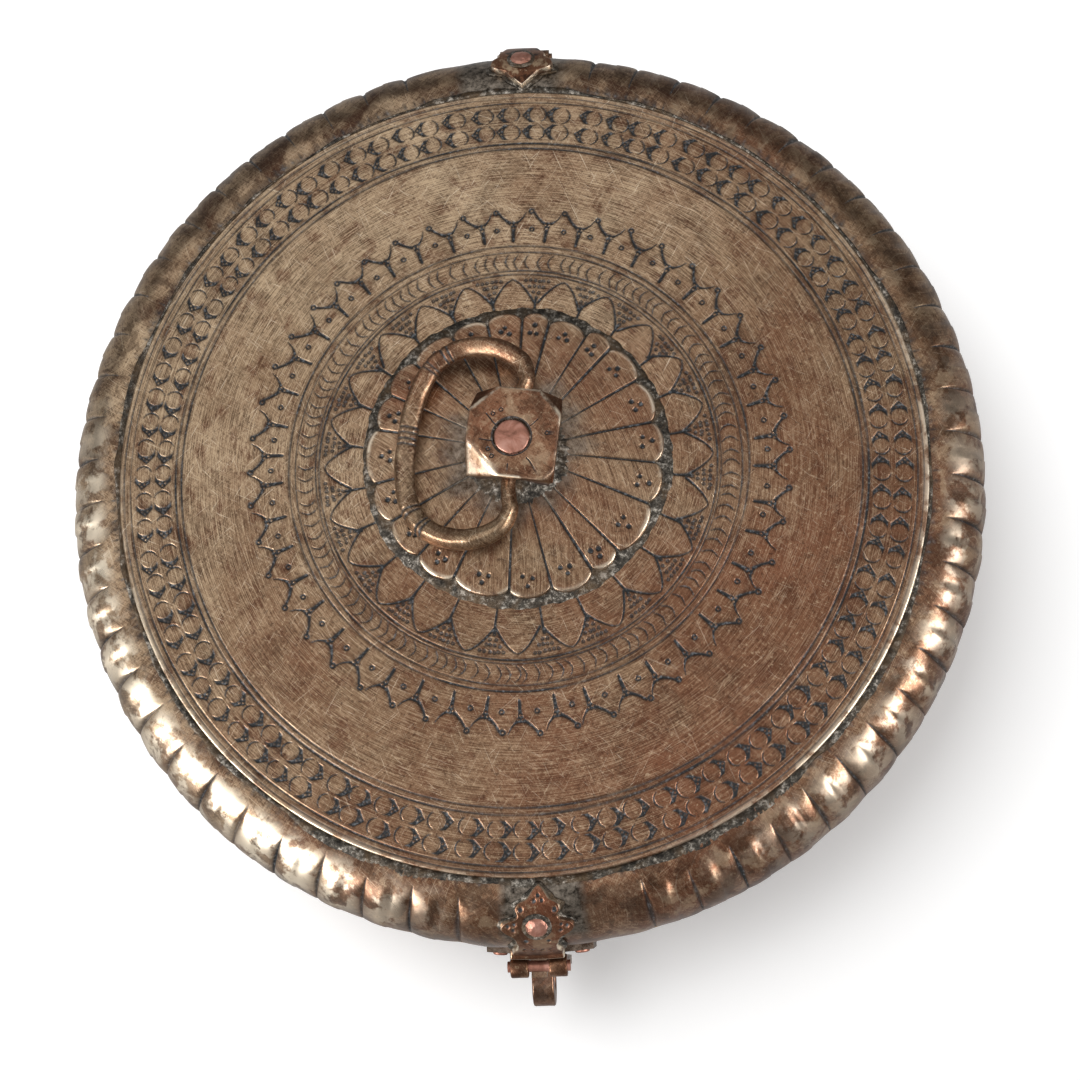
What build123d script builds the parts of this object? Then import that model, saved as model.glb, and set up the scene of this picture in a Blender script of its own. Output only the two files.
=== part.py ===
"""Spice box (masala dabba): a round lobed brass box with a hinged lid, hasp, drop handle
and seven fixed compartments. Millimetres. +Z is up, the underside is at z = 0, the hasp
faces -Y, the hinge is at +Y and the handle lies over the -X side of its knob."""

import os
from math import asin, cos, degrees, radians, sin, sqrt

from build123d import *

os.makedirs("parts", exist_ok=True)

# ---- driving dimensions ----
BODY_R = 125.0          # greatest radius, at the seam between lid and base
SEAM_Z = 48.0           # height of that seam
FLOOR_R = 95.0          # radius where the base wall meets the floor
DISC_R = 107.0          # radius of the flat engraved lid disc
DISC_TOP = 68.0         # height of the lid disc's upper face
SHOULDER_R = 109.0      # radius where the lid shoulder meets the disc
FULLNESS = 2.4          # 2 is an ellipse, more is fuller
SHEET = 1.3             # thickness of the lobed walls
PLATE = 1.6             # thickness of the floor and the lid disc
LID_GAP = 0.4           # seam clearance under the lid
COLLAR_R = 121.6        # outer radius of the upright rim inside the seam
COLLAR_TOP = 53.0
CUP_R = 34.0            # outer radius of the centre compartment
CUP_TOP = 40.0
DIVIDERS = 6
DIVIDER_T = 1.2
ROSETTE_R = 40.0
ROSETTE_EDGE = 1.6      # height of the rosette's rim above the disc
ROSETTE_RISE = 4.4      # height of its middle above the disc
KNOB_TOP = 86.0
KNOB_HALF = 11.8        # half the width of the knob's square block
KNOB_FACE = 12.4        # where its corner facets start on the top face, along the diagonal
KNOB_X = 0.5            # the knob sits a little off centre
KNOB_Y = 1.4
KNOB_TURN = -8.0        # and is turned a little
BAIL_AXIS_Z = 79.3      # height of the cross bore through the knob
BAIL_R = 2.9            # half thickness of the handle's round bar
BAIL_PEG_R = 1.9
BAIL_HALF_Y = 29.5      # half the handle's length
BAIL_REST = 10.4        # the handle's droop at rest, in degrees, until its bar meets the rosette
BAIL_REACH = 29.4       # how far the handle's bar lies from its pivots
HINGE_Y = 129.2         # hinge pin line, across X
HINGE_Z = 48.0
KNUCKLE_R = 3.0
PIN_R = 1.4
PIN_FIT = 0.05          # radial running clearance on every pin
HASP_Y = -129.6         # hasp pin line, across X
HASP_Z = 49.0
STAPLE_T = 5.8          # width of the staple's bar, across X
STAPLE_Z = 33.0
STAPLE_TIP = -135.0     # middle of the staple's rounded end
STAPLE_TIP_R = 6.0
EYE_R = 2.4             # padlock eye


def rounded(angle, run, rise):
    """A point and unit normal on a rounded quarter profile, fuller than an ellipse."""
    x = run * max(cos(radians(angle)), 1e-9) ** (2.0 / FULLNESS)
    y = rise * max(sin(radians(angle)), 1e-9) ** (2.0 / FULLNESS)
    normal_x = (x / run) ** (FULLNESS - 1.0) / run
    normal_y = (y / rise) ** (FULLNESS - 1.0) / rise
    size = sqrt(normal_x ** 2 + normal_y ** 2)
    return (x, y, normal_x / size, normal_y / size)


def lid_point(angle, offset):
    """A point on the lid shoulder's profile, angle from the seam upward, moved outward."""
    x, y, normal_x, normal_y = rounded(angle, BODY_R - SHOULDER_R, DISC_TOP - SEAM_Z)
    return (SHOULDER_R + x + offset * normal_x, SEAM_Z + y + offset * normal_y)


def wall_point(angle, offset):
    """A point on the base wall's profile, angle from the seam downward, moved outward."""
    x, y, normal_x, normal_y = rounded(angle, BODY_R - FLOOR_R, SEAM_Z)
    return (FLOOR_R + x + offset * normal_x, SEAM_Z - y - offset * normal_y)


def revolve_loop(points, arc=360.0, start=0.0):
    """Revolve a closed loop of (r, z) points about Z."""
    with BuildPart() as made:
        with BuildSketch(Plane.XZ):
            with BuildLine():
                Polyline(*points, close=True)
            make_face()
        revolve(axis=Axis.Z, revolution_arc=arc)
    solid = made.part
    return solid.rotate(Axis.Z, start)


def ring(outer, inner, z0, z1):
    """A flat or upright ring."""
    with BuildPart() as made:
        with Locations((0, 0, z0)):
            Cylinder(outer, z1 - z0, align=(Align.CENTER, Align.CENTER, Align.MIN))
            Cylinder(inner, z1 - z0, align=(Align.CENTER, Align.CENTER, Align.MIN), mode=Mode.SUBTRACT)
    return made.part


def rod_x(x0, x1, y, z, radius):
    """A round rod along X."""
    with BuildPart() as made:
        with BuildSketch(Plane.YZ.offset(x0)):
            with Locations((y, z)):
                Circle(radius)
        extrude(amount=x1 - x0)
    return made.part


def leaf_outline(points, z0, z1):
    """A symmetrical leaf, given its right-hand (x, y) points, as a block to cut with."""
    left = [(-x, y) for x, y in reversed(points) if x > 0]
    with BuildPart() as made:
        with BuildSketch(Plane.XY.offset(z0)):
            with BuildLine():
                Polyline(*points, *left, close=True)
            make_face()
        extrude(amount=z1 - z0)
    return made.part


def on_knob(solid):
    """Turn and move a piece made on the Z axis to the knob's real place."""
    return solid.rotate(Axis.Z, KNOB_TURN).moved(Location((KNOB_X, KNOB_Y, 0)))


def finish(solid, label):
    """Name a piece and write it out."""
    if isinstance(solid, ShapeList):
        solid = Part(children=list(solid))
    solid.label = label
    export_step(solid, "parts/" + label + ".step")
    return solid


# ---- base: floor, lobed wall, seam flange and collar ----
with BuildPart() as base_floor:
    Cylinder(FLOOR_R - 3.0, PLATE, align=(Align.CENTER, Align.CENTER, Align.MIN))
finish(base_floor.part, "base_floor")

steps = [i * 5.0 for i in range(18)]
outer = [wall_point(a, 0.0) for a in steps if wall_point(a, 0.0)[1] < SEAM_Z - 0.5]
inner = [wall_point(a, -SHEET) for a in steps if wall_point(a, 0.0)[1] < SEAM_Z - 0.5]
seam_under = SEAM_Z - 1.5
outer = [(BODY_R, seam_under)] + [p for p in outer if p[1] < seam_under - 1.0]
inner = [(BODY_R - SHEET, seam_under)] + [p for p in inner if p[1] < seam_under - 1.0]
foot_out = [(FLOOR_R + 3.0, 0.0), (FLOOR_R - 2.9, 0.0)]
foot_in = [(FLOOR_R - 2.9, PLATE), (FLOOR_R + 1.5, PLATE)]
base_wall = revolve_loop(outer + foot_out + foot_in + list(reversed(inner)))

finish(ring(BODY_R - 0.2, COLLAR_R + 0.02, seam_under + 0.02, SEAM_Z - 0.1), "base_flange")
finish(ring(COLLAR_R, COLLAR_R - 1.1, SEAM_Z - 8.0, COLLAR_TOP), "base_collar")

# ---- compartments ----
finish(ring(CUP_R, CUP_R - 1.2, PLATE + 0.02, CUP_TOP), "centre_cup")


def divider(index):
    """One radial partition from the centre cup out to the base wall."""
    z_low = PLATE + 0.05
    z_high = CUP_TOP - 1.0
    heights = [z_low + (z_high - z_low) * i / 8.0 for i in range(9)]
    edge = [(max(wall_point_inner(z), CUP_R + 1.0), z) for z in heights]
    with BuildPart() as made:
        with BuildSketch(Plane.XZ):
            with BuildLine():
                Polyline((CUP_R + 0.05, z_low), *edge, (CUP_R + 0.05, z_high), close=True)
            make_face()
        extrude(amount=DIVIDER_T / 2.0, both=True)
    return made.part.rotate(Axis.Z, 30.0 + index * 360.0 / DIVIDERS)


def wall_point_inner(z):
    """Radius just inside the base wall at height z, measured square to the wall."""
    best = FLOOR_R
    for i in range(0, 901):
        r, height = wall_point(i * 0.1, -SHEET - 0.35)
        if height <= z:
            best = r
            break
    return best


for i in range(DIVIDERS):
    finish(divider(i), "divider_" + str(i + 1))

# ---- lid: engraved disc, lobed shoulder, solder ----
DISC_UNDER = DISC_TOP - PLATE
with BuildPart() as lid_disc:
    with Locations((0, 0, DISC_UNDER)):
        Cylinder(DISC_R, PLATE, align=(Align.CENTER, Align.CENTER, Align.MIN))
    fillet(lid_disc.edges().group_by(Axis.Z)[-1], 0.7)
    with Locations((KNOB_X, KNOB_Y, DISC_UNDER)):
        Cylinder(3.3, PLATE, align=(Align.CENTER, Align.CENTER, Align.MIN), mode=Mode.SUBTRACT)
finish(lid_disc.part, "lid_disc")

low_angle = degrees(asin(LID_GAP / (DISC_TOP - SEAM_Z)))
angles = [low_angle] + [i * 6.0 for i in range(1, 15)] + [88.0]
skin = [lid_point(a, 0.0) for a in angles]
under = [lid_point(a, -SHEET) for a in angles]
lip = [(DISC_R + 0.9, DISC_TOP - 0.1), (DISC_R + 0.9, DISC_TOP - 1.4)]
lid_shoulder = revolve_loop(skin + lip + list(reversed(under)))

seam = [
    (DISC_R + 0.02, DISC_UNDER),
    (DISC_R + 0.85, DISC_UNDER + 0.2),
    (DISC_R + 0.85, DISC_TOP - 0.05),
    (DISC_R + 0.02, DISC_TOP - 0.75),
]
finish(revolve_loop(seam), "seam_solder")

# ---- rosette, its solder, the knob and its stud ----


def dome(r):
    """Height of the rosette's upper face at radius r."""
    share = 1.0 - (r / ROSETTE_R) ** 2
    return DISC_TOP + ROSETTE_EDGE + (ROSETTE_RISE - ROSETTE_EDGE) * share


radii = [ROSETTE_R - i * (ROSETTE_R - 5.0) / 8.0 for i in range(9)]
top_side = [(r, dome(r)) for r in radii]
low_side = [(r, dome(r) - 1.3) for r in reversed(radii)]
finish(revolve_loop(top_side + low_side), "rosette")

fill = [
    (ROSETTE_R + 2.6, DISC_TOP + 0.02),
    (ROSETTE_R + 0.03, DISC_TOP + 1.1),
    (ROSETTE_R + 0.03, DISC_TOP + 0.25),
    (ROSETTE_R - 3.0, DISC_TOP + 0.25),
    (ROSETTE_R - 3.0, DISC_TOP + 0.02),
]
finish(revolve_loop(fill), "rosette_solder")

KNOB_LOW = dome(12.0) + 0.35
KNOB_MID = (KNOB_LOW + KNOB_TOP) / 2.0
with BuildPart() as knob:
    with Locations((0, 0, KNOB_MID)):
        Box(2.0 * KNOB_HALF, 2.0 * KNOB_HALF, KNOB_TOP - KNOB_LOW)
    for quarter in range(4):
        turn = radians(45.0 + 90.0 * quarter)
        for level, drop in ((KNOB_TOP, 1.0), (KNOB_LOW, -1.0)):
            cut = Plane(
                origin=(KNOB_FACE * cos(turn), KNOB_FACE * sin(turn), level),
                z_dir=(cos(turn), sin(turn), drop * 0.8),
            )
            split(bisect_by=cut, keep=Keep.BOTTOM)
    with Locations((0, 0, KNOB_LOW)):
        Cylinder(2.52, 30.0, align=(Align.CENTER, Align.CENTER, Align.MIN), mode=Mode.SUBTRACT)
    with Locations((0, 0, KNOB_TOP - 1.2)):
        Cylinder(4.8, 4.0, align=(Align.CENTER, Align.CENTER, Align.MIN), mode=Mode.SUBTRACT)
    for side in (-1, 1):
        with BuildSketch(Plane.XZ.offset(side * 5.5)):
            with Locations((0, BAIL_AXIS_Z)):
                Circle(BAIL_PEG_R + PIN_FIT)
        extrude(amount=side * 12.0, mode=Mode.SUBTRACT)
finish(on_knob(knob.part), "knob")

STUD_LOW = DISC_UNDER - 1.6
with BuildPart() as knob_stud:
    with Locations((0, 0, STUD_LOW - 1.4)):
        Cylinder(2.5, KNOB_TOP - 0.8 - STUD_LOW + 1.4, align=(Align.CENTER, Align.CENTER, Align.MIN))
    with Locations((0, 0, KNOB_TOP - 1.18)):
        Cylinder(4.7, 1.4, align=(Align.CENTER, Align.CENTER, Align.MIN))
    with Locations((0, 0, STUD_LOW - 1.4)):
        Cylinder(4.0, 1.4, align=(Align.CENTER, Align.CENTER, Align.MIN))
    fillet(knob_stud.edges().group_by(Axis.Z)[-1], 0.6)
finish(on_knob(knob_stud.part), "knob_stud")
finish(on_knob(ring(7.0, 2.55, STUD_LOW + 0.02, DISC_UNDER - 0.02)), "knob_washer")

# ---- drop handle ----
PEG_START = 6.0
BAR_START = KNOB_HALF + 2.2
half_path = [
    (0.0, BAR_START),
    (1.5, 24.5),
    (-14.0, 27.4),
    (-BAIL_REACH, 16.5),
]
points = [(x, y, BAIL_AXIS_Z) for x, y in half_path]
points += [(x, -y, BAIL_AXIS_Z) for x, y in reversed(half_path)]
with BuildPart() as bail:
    with BuildLine() as grip:
        FilletPolyline(*points, radius=6.2)
    with BuildSketch(Plane(origin=grip.line @ 0, z_dir=grip.line % 0)):
        Circle(BAIL_R)
    sweep()
    for side in (-1, 1):
        with BuildSketch(Plane.XZ.offset(-side * PEG_START)):
            with Locations((0, BAIL_AXIS_Z)):
                Circle(BAIL_PEG_R)
        extrude(amount=-side * (BAR_START - PEG_START + 0.5))
droop = Axis((0, 0, BAIL_AXIS_Z), (0, 1, 0))
finish(on_knob(bail.part.rotate(droop, -BAIL_REST)), "bail")

# ---- fittings: curved leaf plates that follow the lid and wall ----
LEAF_T = 1.8
LEAF_GAP = 0.06


def lid_leaf(low_angle_deg, high_angle_deg, arc, facing):
    """A curved strip lying on the lid shoulder, centred on facing degrees."""
    count = 10
    step = (high_angle_deg - low_angle_deg) / count
    turns = [low_angle_deg + step * i for i in range(count + 1)]
    near = [lid_point(a, LEAF_GAP) for a in turns]
    far = [lid_point(a, LEAF_GAP + LEAF_T) for a in turns]
    return revolve_loop(near + list(reversed(far)), arc, facing - arc / 2.0)


def wall_leaf(low_angle_deg, high_angle_deg, arc, facing):
    """A curved strip lying on the base wall, centred on facing degrees."""
    count = 10
    step = (high_angle_deg - low_angle_deg) / count
    turns = [low_angle_deg + step * i for i in range(count + 1)]
    near = [wall_point(a, LEAF_GAP) for a in turns]
    far = [wall_point(a, LEAF_GAP + LEAF_T) for a in turns]
    return revolve_loop(near + list(reversed(far)), arc, facing - arc / 2.0)


def knuckle(x0, x1, y, z, bore):
    """A hinge barrel along X with a bore."""
    barrel = rod_x(x0, x1, y, z, KNUCKLE_R)
    return barrel - rod_x(x0 - 1.0, x1 + 1.0, y, z, bore)


def rivet(x, y, z, tilt, facing, head_r, shank):
    """A domed rivet whose head sits on a leaf, leaning outward by tilt degrees."""
    with BuildPart() as made:
        Cylinder(head_r, 0.8, align=(Align.CENTER, Align.CENTER, Align.MIN))
        fillet(made.edges().group_by(Axis.Z)[-1], 0.5)
        with Locations((0, 0, 0)):
            Cylinder(head_r * 0.45, shank, align=(Align.CENTER, Align.CENTER, Align.MAX))
    solid = made.part.rotate(Axis.Y, tilt).rotate(Axis.Z, facing)
    return solid.moved(Location((x, y, z)))


def rivet_on_lid(angle, facing, head_r, side=0.0):
    """A rivet through a lid leaf at a profile angle."""
    r, z = lid_point(angle, LEAF_GAP + LEAF_T + 0.05)
    normal_x, normal_z = rounded(angle, BODY_R - SHOULDER_R, DISC_TOP - SEAM_Z)[2:]
    lean = 90.0 - degrees(asin(normal_z))
    turn = facing + side
    return rivet(r * cos(radians(turn)), r * sin(radians(turn)), z, lean, turn, head_r, 4.2)


def rivet_on_wall(angle, facing, head_r, side=0.0):
    """A rivet through a wall leaf at a profile angle."""
    r, z = wall_point(angle, LEAF_GAP + LEAF_T + 0.05)
    normal_x, normal_z = rounded(angle, BODY_R - FLOOR_R, SEAM_Z)[2:]
    lean = 90.0 + degrees(asin(normal_z))
    turn = facing + side
    return rivet(r * cos(radians(turn)), r * sin(radians(turn)), z, lean, turn, head_r, 4.2)


HINGE_FACING = 90.0
HASP_FACING = -90.0
HINGE_TURN = -1.24       # the fittings stand a little to the +X side of the middle line
HASP_TURN = 1.0
LID_LEAF = [(0.0, 109.6), (2.4, 112.6), (4.8, 113.6), (5.6, 116.6), (8.6, 117.8), (8.4, 121.4),
            (5.4, 123.0), (5.0, 131.0), (0.0, 131.0)]
LID_CENTRE = 2.6        # half width of the lid's middle knuckle
OUTER_KNUCKLE = 7.2     # outer end of the base's knuckles

# hinge at the back
lid_strip = lid_leaf(8.0, 87.0, 12.0, HINGE_FACING)
cutter = leaf_outline(LID_LEAF, 40.0, 80.0)
lid_side = lid_strip & cutter
arm = rod_x(-LID_CENTRE, LID_CENTRE, HINGE_Y, HINGE_Z, KNUCKLE_R)
with BuildPart() as arm_web:
    with BuildSketch(Plane.YZ.offset(-LID_CENTRE)):
        with BuildLine():
            Polyline((124.85, 53.8), (126.5, 54.0), (HINGE_Y, 50.9), (HINGE_Y, 48.4), (126.5, 48.4),
                     (125.2, 49.6), close=True)
        make_face()
    extrude(amount=2 * LID_CENTRE)
lid_hinge = lid_side + arm + arm_web.part
lid_hinge = lid_hinge - rod_x(-LID_CENTRE - 1.0, LID_CENTRE + 1.0, HINGE_Y, HINGE_Z, PIN_R + PIN_FIT)
lid_hinge = lid_hinge - rivet_on_lid(52.0, HINGE_FACING, 3.0)
finish(lid_hinge.rotate(Axis.Z, HINGE_TURN), "hinge_lid_leaf")

wall_strip = wall_leaf(1.05, 27.0, 14.0, HINGE_FACING)
with BuildPart() as base_outline:
    with BuildSketch(Plane.XZ.offset(-100.0)):
        with BuildLine():
            Polyline((-7.2, 46.4), (-3.0, 46.4), (-3.0, 44.4), (3.0, 44.4), (3.0, 46.4), (7.2, 46.4), (8.8, 38.0), (5.2, 34.5), (3.0, 30.5), (0.0, 26.5),
                     (-3.0, 30.5), (-5.2, 34.5), (-8.8, 38.0), close=True)
        make_face()
    extrude(amount=-60.0)
base_side = wall_strip & base_outline.part
for x0, x1 in ((-OUTER_KNUCKLE, -LID_CENTRE - 0.25), (LID_CENTRE + 0.25, OUTER_KNUCKLE)):
    with BuildPart() as lug:
        with BuildSketch(Plane.YZ.offset(x0)):
            with BuildLine():
                Polyline((125.4, 43.4), (127.0, 43.4), (HINGE_Y + 1.6, 45.6), (HINGE_Y, 47.6), (126.4, 47.6),
                         (125.4, 45.6), close=True)
            make_face()
        extrude(amount=x1 - x0)
    base_side = base_side + lug.part + rod_x(x0, x1, HINGE_Y, HINGE_Z, KNUCKLE_R)
base_side = base_side - rod_x(-12.0, 12.0, HINGE_Y, HINGE_Z, PIN_R + 0.02)
base_side = base_side - rivet_on_wall(8.7, HINGE_FACING, 2.2, 2.2) - rivet_on_wall(8.7, HINGE_FACING, 2.2, -2.2)
finish(base_side.rotate(Axis.Z, HINGE_TURN), "hinge_base_leaf")

with BuildPart() as hinge_pin:
    with BuildSketch(Plane.YZ.offset(-OUTER_KNUCKLE - 0.9)):
        with Locations((HINGE_Y, HINGE_Z)):
            Circle(PIN_R)
    extrude(amount=2 * OUTER_KNUCKLE + 1.8)
    for x0 in (-OUTER_KNUCKLE - 0.9, OUTER_KNUCKLE + 0.1):
        with BuildSketch(Plane.YZ.offset(x0)):
            with Locations((HINGE_Y, HINGE_Z)):
                Circle(2.0)
        extrude(amount=0.8)
finish(hinge_pin.part.rotate(Axis.Z, HINGE_TURN), "hinge_pin")

# ---- front hasp ----
HASP_LEAF = [(0.0, 110.6), (1.8, 113.2), (4.6, 113.9), (5.0, 116.4), (9.3, 117.4), (9.4, 120.6),
             (6.0, 122.0), (4.6, 124.2), (4.6, 131.0), (0.0, 131.0)]
hasp_points = [(x, -y) for x, y in HASP_LEAF]
hasp_cutter = leaf_outline(hasp_points, 40.0, 80.0)
hasp_strip = lid_leaf(8.0, 87.0, 12.0, HASP_FACING)
hasp_side = hasp_strip & hasp_cutter
LUG_IN = 4.0            # half width of the strap's middle barrel
LUG_OUT = 7.3           # outer ends of the plate's two barrels
for x0, x1 in ((-LUG_OUT, -LUG_IN - 0.2), (LUG_IN + 0.2, LUG_OUT)):
    with BuildPart() as ear:
        with BuildSketch(Plane.YZ.offset(x0)):
            with BuildLine():
                Polyline((-125.5, 51.0), (-125.3, 53.6), (-127.6, 53.4), (HASP_Y, 52.0), (HASP_Y, 49.2),
                         (-126.9, 49.2), close=True)
            make_face()
        extrude(amount=x1 - x0)
    hasp_side = hasp_side + ear.part + rod_x(x0, x1, HASP_Y, HASP_Z, KNUCKLE_R - 0.2)
with BuildPart() as shoulder_bar:
    with BuildSketch(Plane.YZ.offset(-LUG_OUT)):
        with BuildLine():
            Polyline((-125.45, 52.6), (-124.7, 55.0), (-126.4, 55.2), (-127.1, 53.0), close=True)
        make_face()
    extrude(amount=2 * LUG_OUT)
hasp_side = hasp_side + shoulder_bar.part
hasp_side = hasp_side - rod_x(-12.0, 12.0, HASP_Y, HASP_Z, PIN_R + 0.02)
hasp_side = hasp_side - rivet_on_lid(53.0, HASP_FACING, 2.85)
finish(hasp_side.rotate(Axis.Z, HASP_TURN), "hasp_plate")

finish(rivet_on_lid(52.0, HINGE_FACING + HINGE_TURN, 2.98), "hinge_lid_rivet")
finish(rivet_on_lid(53.0, HASP_FACING + HASP_TURN, 2.83), "hasp_plate_rivet")
wall_rivets = Compound(children=[
    rivet_on_wall(8.7, HINGE_FACING + HINGE_TURN, 2.18, 2.2),
    rivet_on_wall(8.7, HINGE_FACING + HINGE_TURN, 2.18, -2.2),
])
finish(wall_rivets, "hinge_base_rivets")
finish(rod_x(-LUG_OUT - 0.8, LUG_OUT + 0.8, HASP_Y, HASP_Z, PIN_R).rotate(Axis.Z, HASP_TURN), "hasp_pin")

STRAP_T = 2.2
STRAP_HALF = 7.2
with BuildPart() as hasp_strap:
    with BuildSketch(Plane.XZ.offset(-HASP_Y + STRAP_T / 2.0)):
        with BuildLine():
            Polyline((-LUG_IN, HASP_Z), (-LUG_IN, 45.2), (-STRAP_HALF, 44.6), (-STRAP_HALF, 26.5), (-4.5, 22.6),
                     (0, 19.6), (4.5, 22.6), (STRAP_HALF, 26.5), (STRAP_HALF, 44.6), (LUG_IN, 45.2),
                     (LUG_IN, HASP_Z), close=True)
        make_face()
        with Locations((0, 32.9)):
            RectangleRounded(STAPLE_T + 1.6, 16.4, 1.2, mode=Mode.SUBTRACT)
    extrude(amount=-STRAP_T)
whole_strap = hasp_strap.part + rod_x(-LUG_IN, LUG_IN, HASP_Y, HASP_Z, KNUCKLE_R - 0.2)
whole_strap = whole_strap - rod_x(-12.0, 12.0, HASP_Y, HASP_Z, PIN_R + PIN_FIT)
finish(whole_strap.rotate(Axis.Z, HASP_TURN), "hasp_strap")

# ---- staple on the base ----
with BuildPart() as staple_outline:
    with BuildSketch(Plane.XZ.offset(100.0)):
        with BuildLine():
            Polyline((-14.0, 43.8), (14.0, 43.8), (14.6, 38.6), (9.8, 35.6), (9.6, 29.0), (5.2, 25.6),
                     (2.8, 21.8), (0, 18.4), (-2.8, 21.8), (-5.2, 25.6), (-9.6, 29.0), (-9.8, 35.6),
                     (-14.6, 38.6), close=True)
        make_face()
    extrude(amount=60.0)
staple_strip = wall_leaf(2.6, 36.0, 18.0, HASP_FACING)
plate = staple_strip & staple_outline.part
root_y = -118.0
with BuildPart() as staple:
    with BuildSketch(Plane.YZ.offset(-STAPLE_T / 2.0)):
        with BuildLine():
            top = Line((root_y, STAPLE_Z + STAPLE_TIP_R), (STAPLE_TIP, STAPLE_Z + STAPLE_TIP_R))
            nose = ThreePointArc(top @ 1, (STAPLE_TIP - STAPLE_TIP_R, STAPLE_Z), (STAPLE_TIP, STAPLE_Z - STAPLE_TIP_R))
            Polyline(nose @ 1, (root_y, STAPLE_Z - STAPLE_TIP_R), (root_y, STAPLE_Z + STAPLE_TIP_R))
        make_face()
        with Locations((STAPLE_TIP + 0.4, STAPLE_Z)):
            Circle(EYE_R, mode=Mode.SUBTRACT)
    extrude(amount=STAPLE_T)
wall_block = revolve_loop(
    [wall_point(a, LEAF_GAP + LEAF_T + 0.03) for a in range(0, 61, 4)] + [(60.0, 5.0), (60.0, 48.0)], 24.0, -102.0)
finish((staple.part - wall_block).rotate(Axis.Z, HASP_TURN), "staple")
for side in (-1, 1):
    plate = plate - rivet_on_wall(6.9, HASP_FACING, 2.0, side * 4.9)
finish(plate.rotate(Axis.Z, HASP_TURN), "staple_plate")
plate_rivets = Compound(children=[
    rivet_on_wall(6.9, HASP_FACING + HASP_TURN, 1.98, 4.9),
    rivet_on_wall(6.9, HASP_FACING + HASP_TURN, 1.98, -4.9),
])
finish(plate_rivets, "staple_plate_rivets")

# ---- the two walls, with holes for the rivets ----
for turn in (2.2, -2.2):
    base_wall = base_wall - rivet_on_wall(8.7, HINGE_FACING + HINGE_TURN, 2.24, turn)
for turn in (4.9, -4.9):
    base_wall = base_wall - rivet_on_wall(6.9, HASP_FACING + HASP_TURN, 2.04, turn)
finish(base_wall, "base_wall")
lid_shoulder = lid_shoulder - rivet_on_lid(52.0, HINGE_FACING + HINGE_TURN, 3.04)
lid_shoulder = lid_shoulder - rivet_on_lid(53.0, HASP_FACING + HASP_TURN, 2.89)
finish(lid_shoulder, "lid_shoulder")
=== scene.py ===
"""Looks for the spice box: aged brass, engraving, lobes, solder, fittings, light and camera.

Lengths in this script are millimetres in the part's own frame (+Z up, hasp towards -Y) and
are turned into metres where a mesh is made. Angles round the box are degrees, clockwise
seen from above, from the hasp side, unless a name says otherwise."""

import math

import bmesh
import bpy
import numpy as np
from mathutils import Matrix, Vector


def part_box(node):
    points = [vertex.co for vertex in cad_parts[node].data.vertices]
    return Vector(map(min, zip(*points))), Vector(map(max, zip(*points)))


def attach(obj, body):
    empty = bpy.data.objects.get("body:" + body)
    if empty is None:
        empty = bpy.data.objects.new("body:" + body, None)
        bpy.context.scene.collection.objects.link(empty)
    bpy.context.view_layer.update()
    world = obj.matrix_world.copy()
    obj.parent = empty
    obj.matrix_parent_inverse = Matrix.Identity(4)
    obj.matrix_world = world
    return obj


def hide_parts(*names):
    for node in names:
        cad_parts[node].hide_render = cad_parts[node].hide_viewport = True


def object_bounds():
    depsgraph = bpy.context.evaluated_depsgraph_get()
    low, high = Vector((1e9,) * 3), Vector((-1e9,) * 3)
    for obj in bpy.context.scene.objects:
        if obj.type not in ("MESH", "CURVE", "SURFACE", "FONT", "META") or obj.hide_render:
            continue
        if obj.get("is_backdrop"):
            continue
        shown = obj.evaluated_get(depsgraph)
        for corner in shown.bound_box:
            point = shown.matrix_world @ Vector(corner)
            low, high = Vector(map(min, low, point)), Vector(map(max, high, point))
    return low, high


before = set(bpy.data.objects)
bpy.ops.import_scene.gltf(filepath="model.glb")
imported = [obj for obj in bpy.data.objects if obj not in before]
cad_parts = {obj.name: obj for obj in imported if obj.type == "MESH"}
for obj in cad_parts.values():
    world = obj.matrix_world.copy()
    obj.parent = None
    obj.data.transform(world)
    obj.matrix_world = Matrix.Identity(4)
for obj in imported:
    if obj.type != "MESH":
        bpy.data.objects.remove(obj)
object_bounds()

MM = 0.001
rng = np.random.default_rng(46)

# ---------------------------------------------------------------- sizes from the frame


def node_box(name):
    """A node's low and high corners in millimetres."""
    low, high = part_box(name)
    return np.array(low) / MM, np.array(high) / MM


DISC_LOW, DISC_HIGH = node_box("lid_disc")
WALL_HIGH = node_box("base_wall")[1]
SHOULDER_LOW, SHOULDER_HIGH = node_box("lid_shoulder")
ROSETTE_HIGH = node_box("rosette")[1]
KNOB_LOW, KNOB_HIGH = node_box("knob")
KNOB_AT = tuple((KNOB_LOW + KNOB_HIGH)[:2] / 2.0)
DISC_R = DISC_HIGH[0]
DISC_TOP = DISC_HIGH[2]
DISC_SUNK = 0.32            # how far the disc's flat face lies below its CAD top
BODY_R = WALL_HIGH[0]
SEAM_Z = WALL_HIGH[2] + 1.5
FLOOR_R = 95.0
SHOULDER_R = DISC_R + 2.0
FULLNESS = 2.4              # power of the rounded wall profile, 2 is an ellipse
ROSETTE_R = ROSETTE_HIGH[0]
ROSETTE_EDGE = DISC_TOP + 1.6
ROSETTE_PEAK = ROSETTE_HIGH[2]
ROSETTE_AT = (0.1, 1.6)
KNOB_TURN = -8.0
KNOB_HALF = 11.8
KNOB_ASIDE = 1.2            # the block sits this far behind its stud
BAIL_AXIS_Z = 79.3
BAIL_REST = 10.4            # droop of the handle at rest, in degrees
HINGE_TURN = -1.24
HINGE_SKEW = 1.2            # how far a leaf's tip stands out of line
HASP_TURN = 1.0
HASP_SKEW = 2.1

# ---------------------------------------------------------------- node material helpers


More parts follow.
